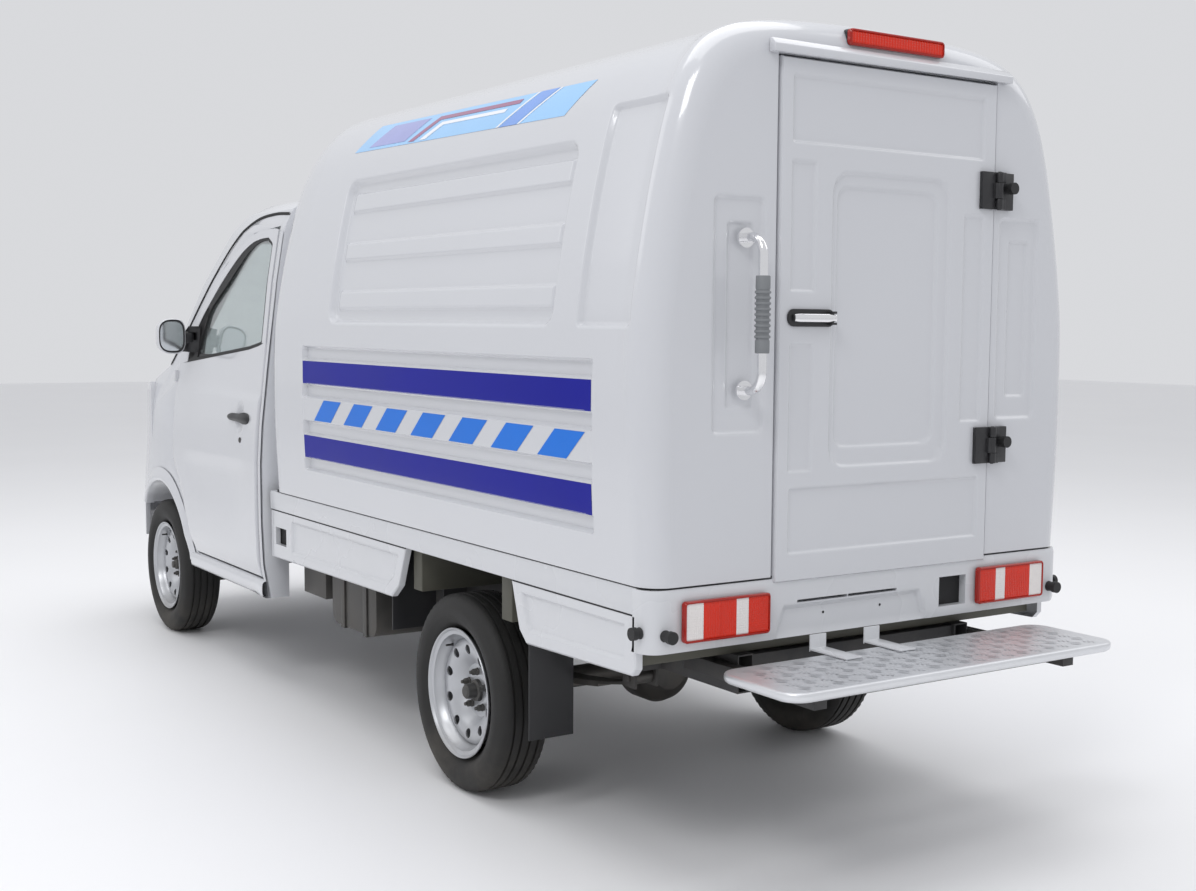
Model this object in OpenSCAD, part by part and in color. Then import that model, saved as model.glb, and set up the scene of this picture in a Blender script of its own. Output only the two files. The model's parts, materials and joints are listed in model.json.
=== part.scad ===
// Small mail delivery truck: single cab, flat deck, moulded cargo body with one rear door.
// Millimetres. +Z up, -Y is the front of the truck, +X is its left (driver's) side.
// The origin is on the ground at the centre of the footprint; modules are drawn from the rear axle.

/* [Chassis] */
// Distance between the front and rear axles
wheelbase = 2845; // [2700:5:3000]
// From the front axle to the bumper's foremost face
front_overhang = 690; // [660:5:740]
// From the rear axle to the rear face of the cargo body
rear_overhang = 1049; // [1030:1:1150]
// How far the rear step reaches behind the cargo body
step_reach = 351; // [280:1:420]
// Distance between the centre planes of the front wheels
front_track = 1304; // [1290:2:1320]
// Distance between the centre planes of the rear wheels
rear_track = 1260; // [1250:2:1272]
// Height of the top of the chassis rails
rail_top = 560; // [540:5:580]
// Height of a chassis rail's section
rail_h = 100; // [90:5:120]
// Width of a chassis rail's section
rail_w = 50; // [40:2:60]

/* [Wheels] */
// Outer diameter of a tyre
tyre_d = 594; // [560:2:610]
// Section width of a tyre
tyre_w = 170; // [150:2:180]
// Diameter of the rim's flange
flange_d = 390; // [370:2:400]
// Pitch circle of the wheel nuts
stud_circle = 114.3; // [98:0.1:120]
// Number of vent holes in a rim
vent_count = 10; // [6:1:12]
// Diameter of a vent hole
vent_d = 29; // [20:1:34]

/* [Cargo body] */
// Width of the cargo body at its widest
body_w = 1476; // [1440:2:1500]
// Height of the roof's crown above the ground
body_top = 2168; // [2140:2:2300]
// Height of the deck's top, on which the body stands
deck_z = 762; // [750:1:780]
// Thickness of the moulded walls
body_wall = 25; // [18:1:35]
// Radius of the upright corners
corner_r = 70; // [50:5:90]

/* [Rear door] */
// Width of the door panel
door_w = 750; // [640:2:780]
// Height of the door panel
door_h = 1305; // [1200:5:1305]
// Thickness of the door panel
door_t = 40; // [30:1:45]
// Offset of the door's centre from the truck's centre, towards the right side
door_shift = 28; // [0:1:40]
// Gap round the door on its hinged side and at its top
door_gap = 4; // [3:1:6]
// Gap at the door's latch side
latch_gap = 9; // [6:1:12]

/* [Step] */
// Width of the step plate
step_w = 1130; // [900:10:1300]
// Depth of the step plate
step_d = 300; // [220:5:320]
// Height of the step plate's top
step_z = 563; // [520:1:575]
// Thickness of the step plate's rolled edge
step_edge = 24; // [18:1:30]

/* [Cab] */
// Width of the cab at its doors
cab_w = 1478; // [1466:2:1500]
// Height of the cab's roof above the ground
cab_top = 1868; // [1840:2:1900]
// Thickness of the cab's walls
cab_wall = 22; // [16:1:26]
// Gap round the cab doors
cab_gap = 6; // [6:1:8]
// Diameter of the steering wheel
steering_d = 370; // [340:5:390]

/* [Hidden] */
$fn = 48;

total_length = wheelbase + front_overhang + rear_overhang + step_reach;
rear_axle_y = total_length / 2 - step_reach - rear_overhang;
front_y = -wheelbase;              // front axle, from the rear axle
nose_y = front_y - front_overhang; // foremost face of the bumper
axle_z = tyre_d / 2;
running = 0.05;                    // radial clearance of a turning shaft
touch = 0.3;                       // gap between pieces that seat on each other

module in_frame() translate([0, rear_axle_y, 0]) children();
module both_sides() { children(); mirror([1, 0, 0]) children(); }
// A box from its lowest corner to its highest
module span(low, high) translate(low) cube(high - low);
module along_x(x0, x1, y, z, r) translate([x0, y, z]) rotate([0, 90, 0]) cylinder(h = x1 - x0, r = r);
module along_y(y0, y1, x, z, r) translate([x, y0, z]) rotate([-90, 0, 0]) cylinder(h = y1 - y0, r = r);
module along_z(z0, z1, x, y, r) translate([x, y, z0]) cylinder(h = z1 - z0, r = r);
// A side-view outline of [y, z] points, given a thickness from x0 to x1
module side_plate(x0, x1, points)
    translate([x0, 0, 0]) rotate([90, 0, 90]) linear_extrude(height = x1 - x0) polygon(points);
// A rear-view outline of [x, z] points, given a depth from y0 to y1
module rear_plate(y0, y1, points)
    translate([0, y1, 0]) rotate([90, 0, 0]) linear_extrude(height = y1 - y0) polygon(points);
// A plan outline of [x, y] points, given a height from z0 to z1
module plan_plate(z0, z1, points) translate([0, 0, z0]) linear_extrude(height = z1 - z0) polygon(points);
function arc(cx, cy, r, a0, a1, n = 8) =
    [for (i = [0 : n]) [cx + r * cos(a0 + (a1 - a0) * i / n), cy + r * sin(a0 + (a1 - a0) * i / n)]];
function round_box(x0, y0, x1, y1, r, n = 5) = concat(
    arc(x1 - r, y1 - r, r, 0, 90, n), arc(x0 + r, y1 - r, r, 90, 180, n),
    arc(x0 + r, y0 + r, r, 180, 270, n), arc(x1 - r, y0 + r, r, 270, 360, n));

// ---------------------------------------------------------------- wheels
rim_half = 77;                     // half of the rim's width over its flanges
hub_offset = 38;                   // mounting face outside the wheel's centre plane
rim_bore_r = 33.5;
bead_r = flange_d / 2 - 17;
disc_r = flange_d / 2 - 42;

carcass_t = 9;
module tyre_at(x, y) {
    r = tyre_d / 2;
    w = tyre_w / 2;
    f = flange_d / 2;
    c = carcass_t;
    translate([x, y, axle_z]) rotate([0, 90, 0]) rotate_extrude($fn = 96) polygon([
        [bead_r + touch, 44], [bead_r + touch, 58], [bead_r + 8, 61.5], [f + 3, 65], [f + 10, rim_half - 2],
        [bead_r + 62, w], [r - 45, w - 4], [r - 16, w - 16], [r - 4, w - 26], [r, w - 40],
        [r, 40 - w], [r - 4, 26 - w], [r - 16, 16 - w], [r - 45, 4 - w], [bead_r + 62, -w],
        [f + 10, 2 - rim_half], [f + 3, -65], [bead_r + 8, -61.5], [bead_r + touch, -58], [bead_r + touch, -44],
        [f + 6, -48], [bead_r + 62, c - w], [r - 48, 4 + c - w], [r - 24, 18 + c - w], [r - 2 * c, 34 + c - w],
        [r - 2 * c, w - 34 - c], [r - 24, w - 18 - c], [r - 48, w - 4 - c], [bead_r + 62, w - c], [f + 6, 48]
    ]);
}

// The pressed steel rim: barrel with flanges, dished disc, vent and stud holes. side is +1 on the left.
module rim_solid(side) {
    fr = flange_d / 2;
    rotate([0, 90 * side, 0]) difference() {
        rotate_extrude($fn = 96) polygon([
            [rim_bore_r, hub_offset - 8], [70, hub_offset - 8], [92, hub_offset + 4], [118, hub_offset + 10],
            [disc_r - 8, hub_offset - 6], [disc_r - 4, 6], [disc_r - 4, -46], [bead_r - 6, -56],
            [bead_r - 6, -rim_half + 6], [fr, -rim_half], [fr, -rim_half + 8], [bead_r, -62],
            [bead_r, -52], [disc_r + 2, -40], [disc_r + 2, 14], [bead_r, 40],
            [bead_r, 62], [fr, rim_half - 8], [fr, rim_half], [bead_r - 6, rim_half - 6],
            [bead_r - 6, 44], [disc_r - 2, hub_offset - 16 + 12], [118, hub_offset + 15],
            [90, hub_offset + 9], [68, hub_offset], [rim_bore_r, hub_offset]
        ]);
        for (i = [0 : vent_count - 1])
            rotate([0, 0, (i + 0.5) * 360 / vent_count]) translate([128, 0, 0]) cylinder(h = 80, d = vent_d);
        for (i = [0 : 4])
            rotate([0, 0, i * 72]) translate([stud_circle / 2, 0, 0]) cylinder(h = 80, r = 7);
    }
}

// Hub flange with its studs and nuts, brake disc or drum, and the bore or shaft it turns on
module hub_solid(side, brake_r, brake_w, bore_r, shaft_l) {
    rotate([0, 90 * side, 0]) {
        difference() {
            union() {
                translate([0, 0, hub_offset - 22]) cylinder(h = 14 - touch, r = 68);
                cylinder(h = hub_offset + 24, r = 32.5);
                translate([0, 0, hub_offset - 22 - brake_w]) cylinder(h = brake_w, r = brake_r);
                if (shaft_l > 0) translate([0, 0, -shaft_l]) cylinder(h = shaft_l + 1, r = bore_r);
                for (i = [0 : 4])
                    rotate([0, 0, i * 72]) translate([stud_circle / 2, 0, hub_offset - 9]) cylinder(h = 36, r = 6);
            }
            if (shaft_l == 0) translate([0, 0, -100]) cylinder(h = hub_offset + 112, r = bore_r + running);
            if (shaft_l > 0) translate([0, 0, hub_offset - 22 - brake_w - 1]) difference() {
                cylinder(h = brake_w - 8, r = brake_r - 9);
                cylinder(h = brake_w - 8, r = 32.5);
            }
        }
        for (i = [0 : 4])
            rotate([0, 0, i * 72]) translate([stud_circle / 2, 0, hub_offset + touch]) difference() {
                cylinder(h = 17, r = 11, $fn = 6);
                translate([0, 0, -1]) cylinder(h = 20, r = 6.1);
            }
    }
}
stub_r = 15;                       // front stub axle
shaft_r = 14;                      // rear half shaft
module rim_front(side) color("silver") in_frame() translate([side * front_track / 2, front_y, axle_z]) {
    rim_solid(side);
    hub_solid(side, 112, 12, stub_r, 0);
}
module rim_rear(side) color("silver") in_frame() translate([side * rear_track / 2, 0, axle_z]) {
    rim_solid(side);
    hub_solid(side, 118, 60, shaft_r, 170);
}
module tyre_front_left() color("dimgray") in_frame() tyre_at(front_track / 2, front_y);
module tyre_front_right() color("dimgray") in_frame() tyre_at(-front_track / 2, front_y);
module tyre_rear_left() color("dimgray") in_frame() tyre_at(rear_track / 2, 0);
module tyre_rear_right() color("dimgray") in_frame() tyre_at(-rear_track / 2, 0);
module rim_front_left() rim_front(1);
module rim_front_right() rim_front(-1);
module rim_rear_left() rim_rear(1);
module rim_rear_right() rim_rear(-1);

// ---------------------------------------------------------------- chassis
rail_x = 385;                      // centre of a rail
rail_low = rail_top - rail_h;
frame_front = nose_y + 49 + touch;  // behind the bumper
frame_rear = rear_overhang - 60;
spring_x = 455;                    // centre of a leaf spring
spring_w = 60;
leaf_t = 8;
spring_front = -550;               // front eye
spring_rear = 610;                 // rear eye
seat_z = axle_z + 38;              // underside of the leaves on the axle
leaf_r = 2800;                     // radius that the leaves are arched to
leaves = 3;
leaf_share = [0.5, 0.72, 1];       // reach of each leaf, the top one last
eye_r = 20;
// Height of a spring eye's centre: the top leaf's underside is tangent to the eye
function eye_z(y) = seat_z + (leaves - 1) * leaf_t + y * y / (2 * leaf_r) + eye_r;
strut_x = 490;
tower_z = 668;                     // underside of the strut tower
rack_y = front_y + 105;
floor_low = rail_top + 20;         // underside of the cab floor

rail_wall = 4;
module chassis_frame() color("dimgray") in_frame() {
    // box-section rails, open at their ends
    both_sides() difference() {
        span([rail_x - rail_w / 2, frame_front, rail_low], [rail_x + rail_w / 2, frame_rear, rail_top]);
        span([rail_x - rail_w / 2 + rail_wall, frame_front - 1, rail_low + rail_wall],
            [rail_x + rail_w / 2 - rail_wall, frame_rear + 1, rail_top - rail_wall]);
    }
    // pads that the cab rests on
    both_sides() for (y = [-2930, -2400, -1620]) along_z(rail_top, floor_low - touch, rail_x, y, 22);
    // housing of the steering rack, hung from a cross-member
    difference() {
        union() {
            along_x(-280, 280, rack_y, axle_z, 20);
            both_sides() span([200, rack_y - 12, axle_z + 14], [216, rack_y + 12, rail_top - 70]);
        }
        along_x(-300, 300, rack_y, axle_z, 11 + running);
    }
    for (y = [frame_front + 75, rack_y - 25, -1420, -780, -250, 330, frame_rear - 60])
        span([-rail_x + rail_w / 2, y, rail_top - 75], [rail_x - rail_w / 2, y + 50, rail_top - 5]);
    // spring hangers, front and rear, each a pair of cheeks on an outrigger
    both_sides() for (y = [spring_front, spring_rear]) {
        difference() {
            union() {
                span([rail_x + rail_w / 2, y - 35, rail_low], [spring_x + spring_w / 2 + 9, y + 35, rail_low + 60]);
                for (x = [spring_x - spring_w / 2 - 9, spring_x + spring_w / 2 + 1])
                    span([x, y - 30, eye_z(y) - 26], [x + 8, y + 30, rail_low]);
            }
            along_x(spring_x - 60, spring_x + 60, y, eye_z(y), 10.1);
        }
        along_x(spring_x - spring_w / 2 - 14, spring_x + spring_w / 2 + 14, y, eye_z(y), 10);
    }
    // strut towers with their piston rods
    both_sides() {
        span([rail_x + rail_w / 2, front_y - 45, rail_low + 40], [rail_x + rail_w / 2 + 12, front_y + 45, tower_z + 12]);
        span([rail_x + rail_w / 2 + 12, front_y - 45, tower_z], [strut_x + 48, front_y + 45, tower_z + 12]);
        along_z(330, tower_z, strut_x, front_y, 10);
    }
}

module suspension_springs() color("dimgray") in_frame() both_sides() {
    // shallow arcs clamped on the axle; the top leaf carries the eyes
    for (i = [0 : leaves - 1]) intersection() {
        difference() {
            along_x(spring_x - spring_w / 2, spring_x + spring_w / 2, 0, seat_z + i * leaf_t + leaf_r, leaf_r, $fn = 96);
            along_x(spring_x - 200, spring_x + 200, 0, seat_z + (i + 1) * leaf_t + leaf_r, leaf_r, $fn = 96);
        }
        span([0, spring_front * leaf_share[i], 0], [900, spring_rear * leaf_share[i], 900]);
    }
    for (y = [spring_front, spring_rear]) difference() {
        along_x(spring_x - spring_w / 2, spring_x + spring_w / 2, y, eye_z(y), eye_r);
        along_x(spring_x - 60, spring_x + 60, y, eye_z(y), 10.2);
    }
    // coil spring envelope round the strut
    difference() {
        along_z(452, tower_z - touch, strut_x, front_y, 44);
        along_z(450, tower_z + 1, strut_x, front_y, 33);
    }
}

// The strut slides on its piston rod and carries the kingpin fork inside the rim
kingpin_x = 600;
fork_z = 62;                       // fork arms above and below the axle
module strut(side) color("dimgray") in_frame() mirror([side < 0 ? 1 : 0, 0, 0]) {
    difference() {
        union() {
            along_z(240, 600, strut_x, front_y, 24);
            along_z(440, 452 - touch, strut_x, front_y, 44);
            for (z = [axle_z - fork_z - 24, axle_z + fork_z])
                span([strut_x, front_y - 22, z], [kingpin_x + 20, front_y + 22, z + 24]);
            span([strut_x - 24, front_y - 22, axle_z - fork_z - 24], [strut_x + 24, front_y + 22, axle_z + fork_z + 24]);
        }
        along_z(270, 601, strut_x, front_y, 10 + running);
        along_z(100, 500, kingpin_x, front_y, 11 + running);
    }
}
module left_strut() strut(1);
module right_strut() strut(-1);

module knuckle(side) color("gray") in_frame() mirror([side < 0 ? 1 : 0, 0, 0]) {
    x1 = front_track / 2 + hub_offset + 10;
    // the kingpin
    along_z(axle_z - fork_z - 30, axle_z + fork_z + 30, kingpin_x, front_y, 11);
    difference() {
        union() {
            span([kingpin_x - 26, front_y - 30, axle_z - fork_z + 2], [kingpin_x + 26, front_y + 30, axle_z + fork_z - 2]);
            along_x(kingpin_x, x1, front_y, axle_z, stub_r);
            along_x(kingpin_x, front_track / 2 - 6, front_y, axle_z, 26);
            // steering arm, pointing to the rear
            span([kingpin_x - 26, front_y + 20, axle_z - 12], [kingpin_x - 8, front_y + 120, axle_z + 10]);
        }
        along_z(0, 600, kingpin_x, front_y, 11);
    }
}
module left_knuckle() knuckle(1);
module right_knuckle() knuckle(-1);

shaft_z = axle_z + 8;              // axis of the propeller shaft
module rear_axle() color("dimgray") in_frame() {
    tube_end = rear_track / 2 - 48;
    difference() {
        union() {
            along_x(-tube_end, tube_end, 0, axle_z, 34);
            translate([0, 0, axle_z]) rotate([90, 0, 0]) rotate_extrude()
                polygon([[0, -108], [60, -102], [98, -72], [112, -40], [112, 40], [80, 92], [0, 112]]);
            along_y(-190, 0, 0, shaft_z, 46);
            along_y(-205, -190, 0, shaft_z, 54);
            both_sides() {
                along_x(tube_end - 8, tube_end, 0, axle_z, 116);
                span([spring_x - 32, -60, axle_z], [spring_x + 32, 60, seat_z - touch]);
                // spring plate and U-bolts
                span([spring_x - 46, -60, seat_z + 3 * leaf_t + 10], [spring_x + 46, 60, seat_z + 3 * leaf_t + 18]);
                for (x = [-38, 38], y = [-48, 48])
                    along_z(axle_z - 50, seat_z + 3 * leaf_t + 34, spring_x + x, y, 5);
                span([spring_x - 46, -60, axle_z - 43], [spring_x + 46, 60, axle_z - 33]);
            }
        }
        both_sides() along_x(tube_end - 130, tube_end + 1, 0, axle_z, shaft_r + running);
    }
}

engine_front = -2060;
gearbox_rear = -1230;              // rear face of the gearbox
module propshaft() color("gray") in_frame() {
    along_y(gearbox_rear + touch, gearbox_rear + 13, 0, shaft_z, 50);
    along_y(gearbox_rear + 13, -218, 0, shaft_z, 30);
    along_y(-218, -205 - touch, 0, shaft_z, 50);
}

module powertrain() color("gray") in_frame() {
    rail_in = rail_x - rail_w / 2;
    // engine under the seats, bell housing and gearbox, on arms that reach the rails
    span([-200, engine_front, 300], [200, engine_front + 330, 600]);
    for (y = [engine_front + 60, engine_front + 220]) span([-rail_in + touch, y, 480], [rail_in - touch, y + 50, 520]);
    along_y(engine_front + 325, engine_front + 400, 0, shaft_z + 40, 150);
    span([-95, engine_front + 395, shaft_z - 60], [95, gearbox_rear - 55, shaft_z + 100]);
    along_y(gearbox_rear - 60, gearbox_rear, 0, shaft_z, 55);
    // exhaust pipe and silencer on the right, hung from a cross-member
    along_y(engine_front + 320, -300, -250, 370, 20);
    along_y(-1150, -620, -250, 370, 70);
    along_z(370, rail_top - 75 - touch, -250, -755, 6);
    // tank on the left with its straps, and the battery box ahead of it
    side_plate(425, 655, round_box(-1080, 330, -700, 540, 45));
    for (y = [-990, -800]) difference() {
        span([rail_x + rail_w / 2 + touch, y, 324], [661, y + 30, rail_top - touch]);
        span([424.7, y - 5, 329.7], [655.3, y + 35, rail_top - 14]);
    }
    span([rail_x + rail_w / 2 + touch, -1390, 390], [640, -1180, rail_top - touch]);
}

// ---------------------------------------------------------------- deck
deck_w = 1444;
deck_front = -1512;
valance_wrap = 60;                 // how far the valance wraps round the sides
rail_line = 694;                   // underside of the deck's side rail
skirt_low = 518;
board_t = 27;
module deck_platform() color("white") in_frame() {
    hw = deck_w / 2;
    span([-hw + 30, deck_front, deck_z - board_t], [hw - 30, rear_overhang - 30, deck_z - touch]);
    both_sides() span([hw - 30, deck_front, rail_line], [hw, rear_overhang - valance_wrap - 1, deck_z - touch]);
    // front cross panel and bearers that stand on the chassis rails
    span([-hw + 30, deck_front, rail_top], [hw - 30, deck_front + 6, deck_z - board_t]);
    for (y = [-1440, -1100, -760, -330, 250, 620, 900])
        span([-hw + 32, y, rail_top], [hw - 32, y + 60, deck_z - board_t]);
}

front_skirt = [[deck_front, rail_line - touch], [deck_front, skirt_low - 5], [-430, skirt_low + 6],
    [-372, 566], [-320, rail_line - touch]];
rear_skirt = [[366, rail_line - touch], [411, 563], [450, skirt_low + 10], [rear_overhang - 100, skirt_low + 22],
    [rear_overhang - valance_wrap - 2, 590], [rear_overhang - valance_wrap - 2, rail_line - touch]];
module skirt_panel(outline, recess) {
    hw = deck_w / 2;
    difference() {
        side_plate(hw - 28, hw - 2, outline);
        side_plate(hw - 8, hw, recess);
        side_plate(hw - 40, hw - 16, [for (p = outline) [p[0] * 0.985 + 0.015 * recess[0][0], p[1] > 600 ? p[1] + 1 : p[1] + 14]]);
    }
}
module side_skirts() color("white") in_frame() both_sides() {
    difference() {
        skirt_panel(front_skirt, [[-1290, 655], [-1290, 560], [-450, 566], [-405, 655]]);
        // access hole ahead of the recess
        span([600, -1455, 565], [800, -1350, 640]);
    }
    skirt_panel(rear_skirt, [[440, 655], [478, 570], [rear_overhang - 105, 580], [rear_overhang - 105, 655]]);
}

valance_low = 604;
valance_t = 26;
lamp_x0 = 368;
lamp_x1 = 633;
lamp_z0 = 628;
lamp_z1 = 731;
plate_holes = 200;                 // distance between the number plate's two screws
plate_x = 99;
plate_z = 657;
pocket = [[-234, 632], [-336, 632], [-336, 714], [-234, 714]];
door_x0 = -door_shift - door_w / 2;    // hinge edge of the door
door_x1 = -door_shift + door_w / 2;    // latch edge of the door
door_z0 = 750;
door_z1 = door_z0 + door_h;
module rear_valance() color("white") in_frame() {
    hw = deck_w / 2;
    r = 30;
    y1 = rear_overhang;
    difference() {
        plan_plate(valance_low, deck_z - touch, concat(
            [[-hw, y1 - valance_wrap]], arc(-hw + r, y1 - r, r, 180, 90, 5), arc(hw - r, y1 - r, r, 90, 0, 5), [[hw, y1 - valance_wrap]],
            [[hw - 5, y1 - valance_wrap], [hw - 5, y1 - r]], [[hw - r, y1 - 5], [-hw + r, y1 - 5], [-hw + 5, y1 - r], [-hw + 5, y1 - valance_wrap]]));
        // the door's foot covers the middle of the top edge
        span([door_x0 - 12, 0, door_z0 - 6], [door_x1 + 12, 2000, 900]);
        // lamp openings, pocket and the two long slots
        both_sides() span([lamp_x0 + 9 - touch, 0, lamp_z0 + 9 - touch], [lamp_x1 - 9 + touch, 2000, lamp_z1 - 9 + touch]);
        rear_plate(0, 2000, pocket);
        for (x = [-96, 98]) span([x, 0, 693], [x + 172, 2000, 700]);
        for (x = [-1, 1] * plate_holes / 2) along_y(0, 2000, plate_x + x, plate_z, 4);
    }
    // stiffening return along the lower edge
    span([-hw + 40, y1 - 45, valance_low], [hw - 40, y1 - 5, valance_low + 5]);
}
lamp3_z = 2102;                    // underside of the high brake lamp
module high_lamp_outline(y0, y1) rear_plate(y0, y1, round_box(-193, lamp3_z, 137, lamp3_z + 42, 9));
module tail_lamp_housings() color("#202020") in_frame() {
    both_sides() difference() {
        rear_plate(rear_overhang - 40, rear_overhang + 6, round_box(lamp_x0 + 9, lamp_z0 + 9, lamp_x1 - 9, lamp_z1 - 9, 8));
        span([lamp_x0 + 14, rear_overhang - 34, lamp_z0 + 14], [lamp_x1 - 14, rear_overhang + 20, lamp_z1 - 14]);
    }
    // the high lamp's base fills in to the rounded edge of the roof
    difference() {
        high_lamp_outline(rear_overhang - 22, rear_overhang + touch);
        body_solid(-touch);
    }
}
module lamp_lenses() color("red") in_frame() {
    both_sides() rear_plate(rear_overhang + 6 + touch, rear_overhang + 22,
        round_box(lamp_x0, lamp_z0, lamp_x1, lamp_z1, 9));
    // the high brake lamp above the door
    high_lamp_outline(rear_overhang + 2 * touch, rear_overhang + 14);
}

buffer_r = 15;
module buffer(l = 34) {
    cylinder(h = l - 14, r1 = buffer_r, r2 = buffer_r - 3);
    translate([0, 0, l - 14]) cylinder(h = 14, r = buffer_r + 1);
}
hinge_y = rear_overhang + 20;      // axis of the rear door's hinges
hinge_x = door_x0 - door_gap / 2;
hinge_zs = [1073, 1769];
module rubber_buffers() color("#303030") in_frame() {
    both_sides() {
        translate([deck_w / 2 - 45, rear_overhang + touch, 650]) rotate([-90, 0, 0]) buffer();
        translate([deck_w / 2 + touch, rear_overhang - 42, 655]) rotate([0, 90, 0]) buffer(26);
    }
    for (z = hinge_zs)
        translate([hinge_x - 42, rear_overhang + 14 + touch, z + 8]) rotate([-90, 0, 0]) buffer(24);
}

// ---------------------------------------------------------------- cargo body
body_front = deck_front - 12;
side_low = body_w / 2 - 14;
// Rear-view outline of the body, set in by d on every side
function body_section(d) = let (hw = body_w / 2, z0 = deck_z, t = body_top) concat(
    [[side_low - d, z0], [hw - 3 - d, z0 + 260], [hw - d, z0 + 470], [hw - 3 - d, z0 + 640]],
    [[hw - 17 - d, z0 + 760], [hw - 37 - d, z0 + 880], [hw - 63 - d, t - 400 + 2],
     [hw - 96 - d, t - 268], [hw - 130 - d * 0.95, t - 180 - d * 0.2]],
    [[hw - 178 - d * 0.8, t - 106 - d * 0.5], [hw - 240 - d * 0.5, t - 58 - d * 0.8], [hw - 330 - d * 0.3, t - 28 - d]],
    [[hw - 480, t - 8 - d], [0, t - d], [-hw + 480, t - 8 - d]],
    [[-hw + 330 + d * 0.3, t - 28 - d], [-hw + 240 + d * 0.5, t - 58 - d * 0.8], [-hw + 178 + d * 0.8, t - 106 - d * 0.5]],
    [[-hw + 130 + d * 0.95, t - 180 - d * 0.2], [-hw + 96 + d, t - 268], [-hw + 63 + d, t - 400 + 2],
     [-hw + 37 + d, z0 + 880], [-hw + 17 + d, z0 + 760]],
    [[-hw + 3 + d, z0 + 640], [-hw + d, z0 + 470], [-hw + 3 + d, z0 + 260], [-side_low + d, z0]]);
// Side-view outline: upright front that rolls back into the roof, upright rear with a rounded top
function body_profile(d) = concat(
    [[rear_overhang - d, deck_z - 5]], arc(rear_overhang - corner_r, body_top - corner_r, corner_r - d, 0, 90, 6),
    arc(body_front + 340, body_top - 340, 340 - d, 90, 180, 12), [[body_front + d, deck_z - 5]]);
function body_plan(d) = let (hw = body_w / 2, f = 130) concat(
    arc(hw - corner_r, rear_overhang - corner_r, corner_r - d, 0, 90, 6),
    arc(-hw + corner_r, rear_overhang - corner_r, corner_r - d, 90, 180, 6),
    arc(-hw + f, body_front + f, f - d, 180, 270, 6), arc(hw - f, body_front + f, f - d, 270, 360, 6));
module body_solid(d) intersection() {
    rear_plate(body_front - 5, rear_overhang + 5, body_section(d));
    side_plate(-body_w, body_w, body_profile(d));
    plan_plate(deck_z - 10, body_top + 10, body_plan(d));
}
waist_front = -1138;
waist_rear = 806;
rebate = door_t + 8;               // depth of the door's rebate, with room for the seal
module cargo_body() color("white") in_frame() difference() {
    body_solid(0);
    difference() {
        body_solid(body_wall);
        // the rear wall is deeper, to hold the door's rebate
        span([-900, rear_overhang - rebate - 14, deck_z - 5], [900, rear_overhang + 10, 2300]);
    }
    // door opening with a rebate for the door panel
    span([door_x0 - door_gap, rear_overhang - rebate, deck_z - 10],
        [door_x1 + latch_gap, rear_overhang + 20, door_z1 + door_gap]);
    span([door_x0 + 30, rear_overhang - 100, deck_z - 10], [door_x1 - 25, rear_overhang + 20, door_z1 - 30]);
    // waist recess, with three raised bands for the stripes
    both_sides() difference() {
        span([body_w / 2 - 14, waist_front, deck_z + 110], [body_w, waist_rear, deck_z + 550]);
        for (z = [deck_z + 157, deck_z + 288, deck_z + 418])
            span([0, waist_front - 9, z], [body_w / 2 - 3, waist_rear + 9, z + 79]);
    }
}
module door_seal() color("#202020") in_frame() difference() {
    // runs up both sides of the doorway and over its top
    rear_plate(rear_overhang - rebate + touch, rear_overhang - door_t - touch, [
        [door_x0 + 8, deck_z + touch], [door_x0 + 8, door_z1 - 8], [door_x1 - 4, door_z1 - 8], [door_x1 - 4, deck_z + touch]]);
    rear_plate(0, 2000, [
        [door_x0 + 28, deck_z - 5], [door_x0 + 28, door_z1 - 28], [door_x1 - 23, door_z1 - 28], [door_x1 - 23, deck_z - 5]]);
}
module drip_rail() color("white") in_frame() difference() {
    rear_plate(rear_overhang + touch, rear_overhang + 26, [
        [-440, door_z1 + 4], [386, door_z1 + 4], [386, door_z1 + 38], [-440, door_z1 + 38]]);
    translate([0, rear_overhang + 26, door_z1 + 44]) rotate([45, 0, 0]) cube([1200, 30, 30], center = true);
}

handle_x = 452;
module grab_handle() color("silver") in_frame() {
    r = 12;
    reach = 74;
    top = 1609;
    low = 1238;
    bend = 46;
    y = rear_overhang;
    for (z = [low, top]) along_y(y + touch, y + 7, handle_x, z, 24);
    for (s = [-1, 1]) {
        z = s > 0 ? top : low;
        along_y(y + 7, y + reach - bend, handle_x, z, r);
        translate([handle_x, y + reach - bend, z - s * bend]) rotate([0, 90, 0])
            rotate([0, 0, s > 0 ? 90 : 0]) rotate_extrude(angle = 90) translate([bend, 0]) circle(r = r);
    }
    along_z(low + bend, top - bend, handle_x, y + reach, r);
}
module handle_grip() color("gray") in_frame() difference() {
    union() {
        along_z(1330, 1516, handle_x, rear_overhang + 74, 18);
        for (i = [0 : 6]) along_z(1364 + i * 17.5, 1376 + i * 17.5, handle_x, rear_overhang + 74, 20);
    }
    along_z(1300, 1560, handle_x, rear_overhang + 74, 12 + touch);
}

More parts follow.
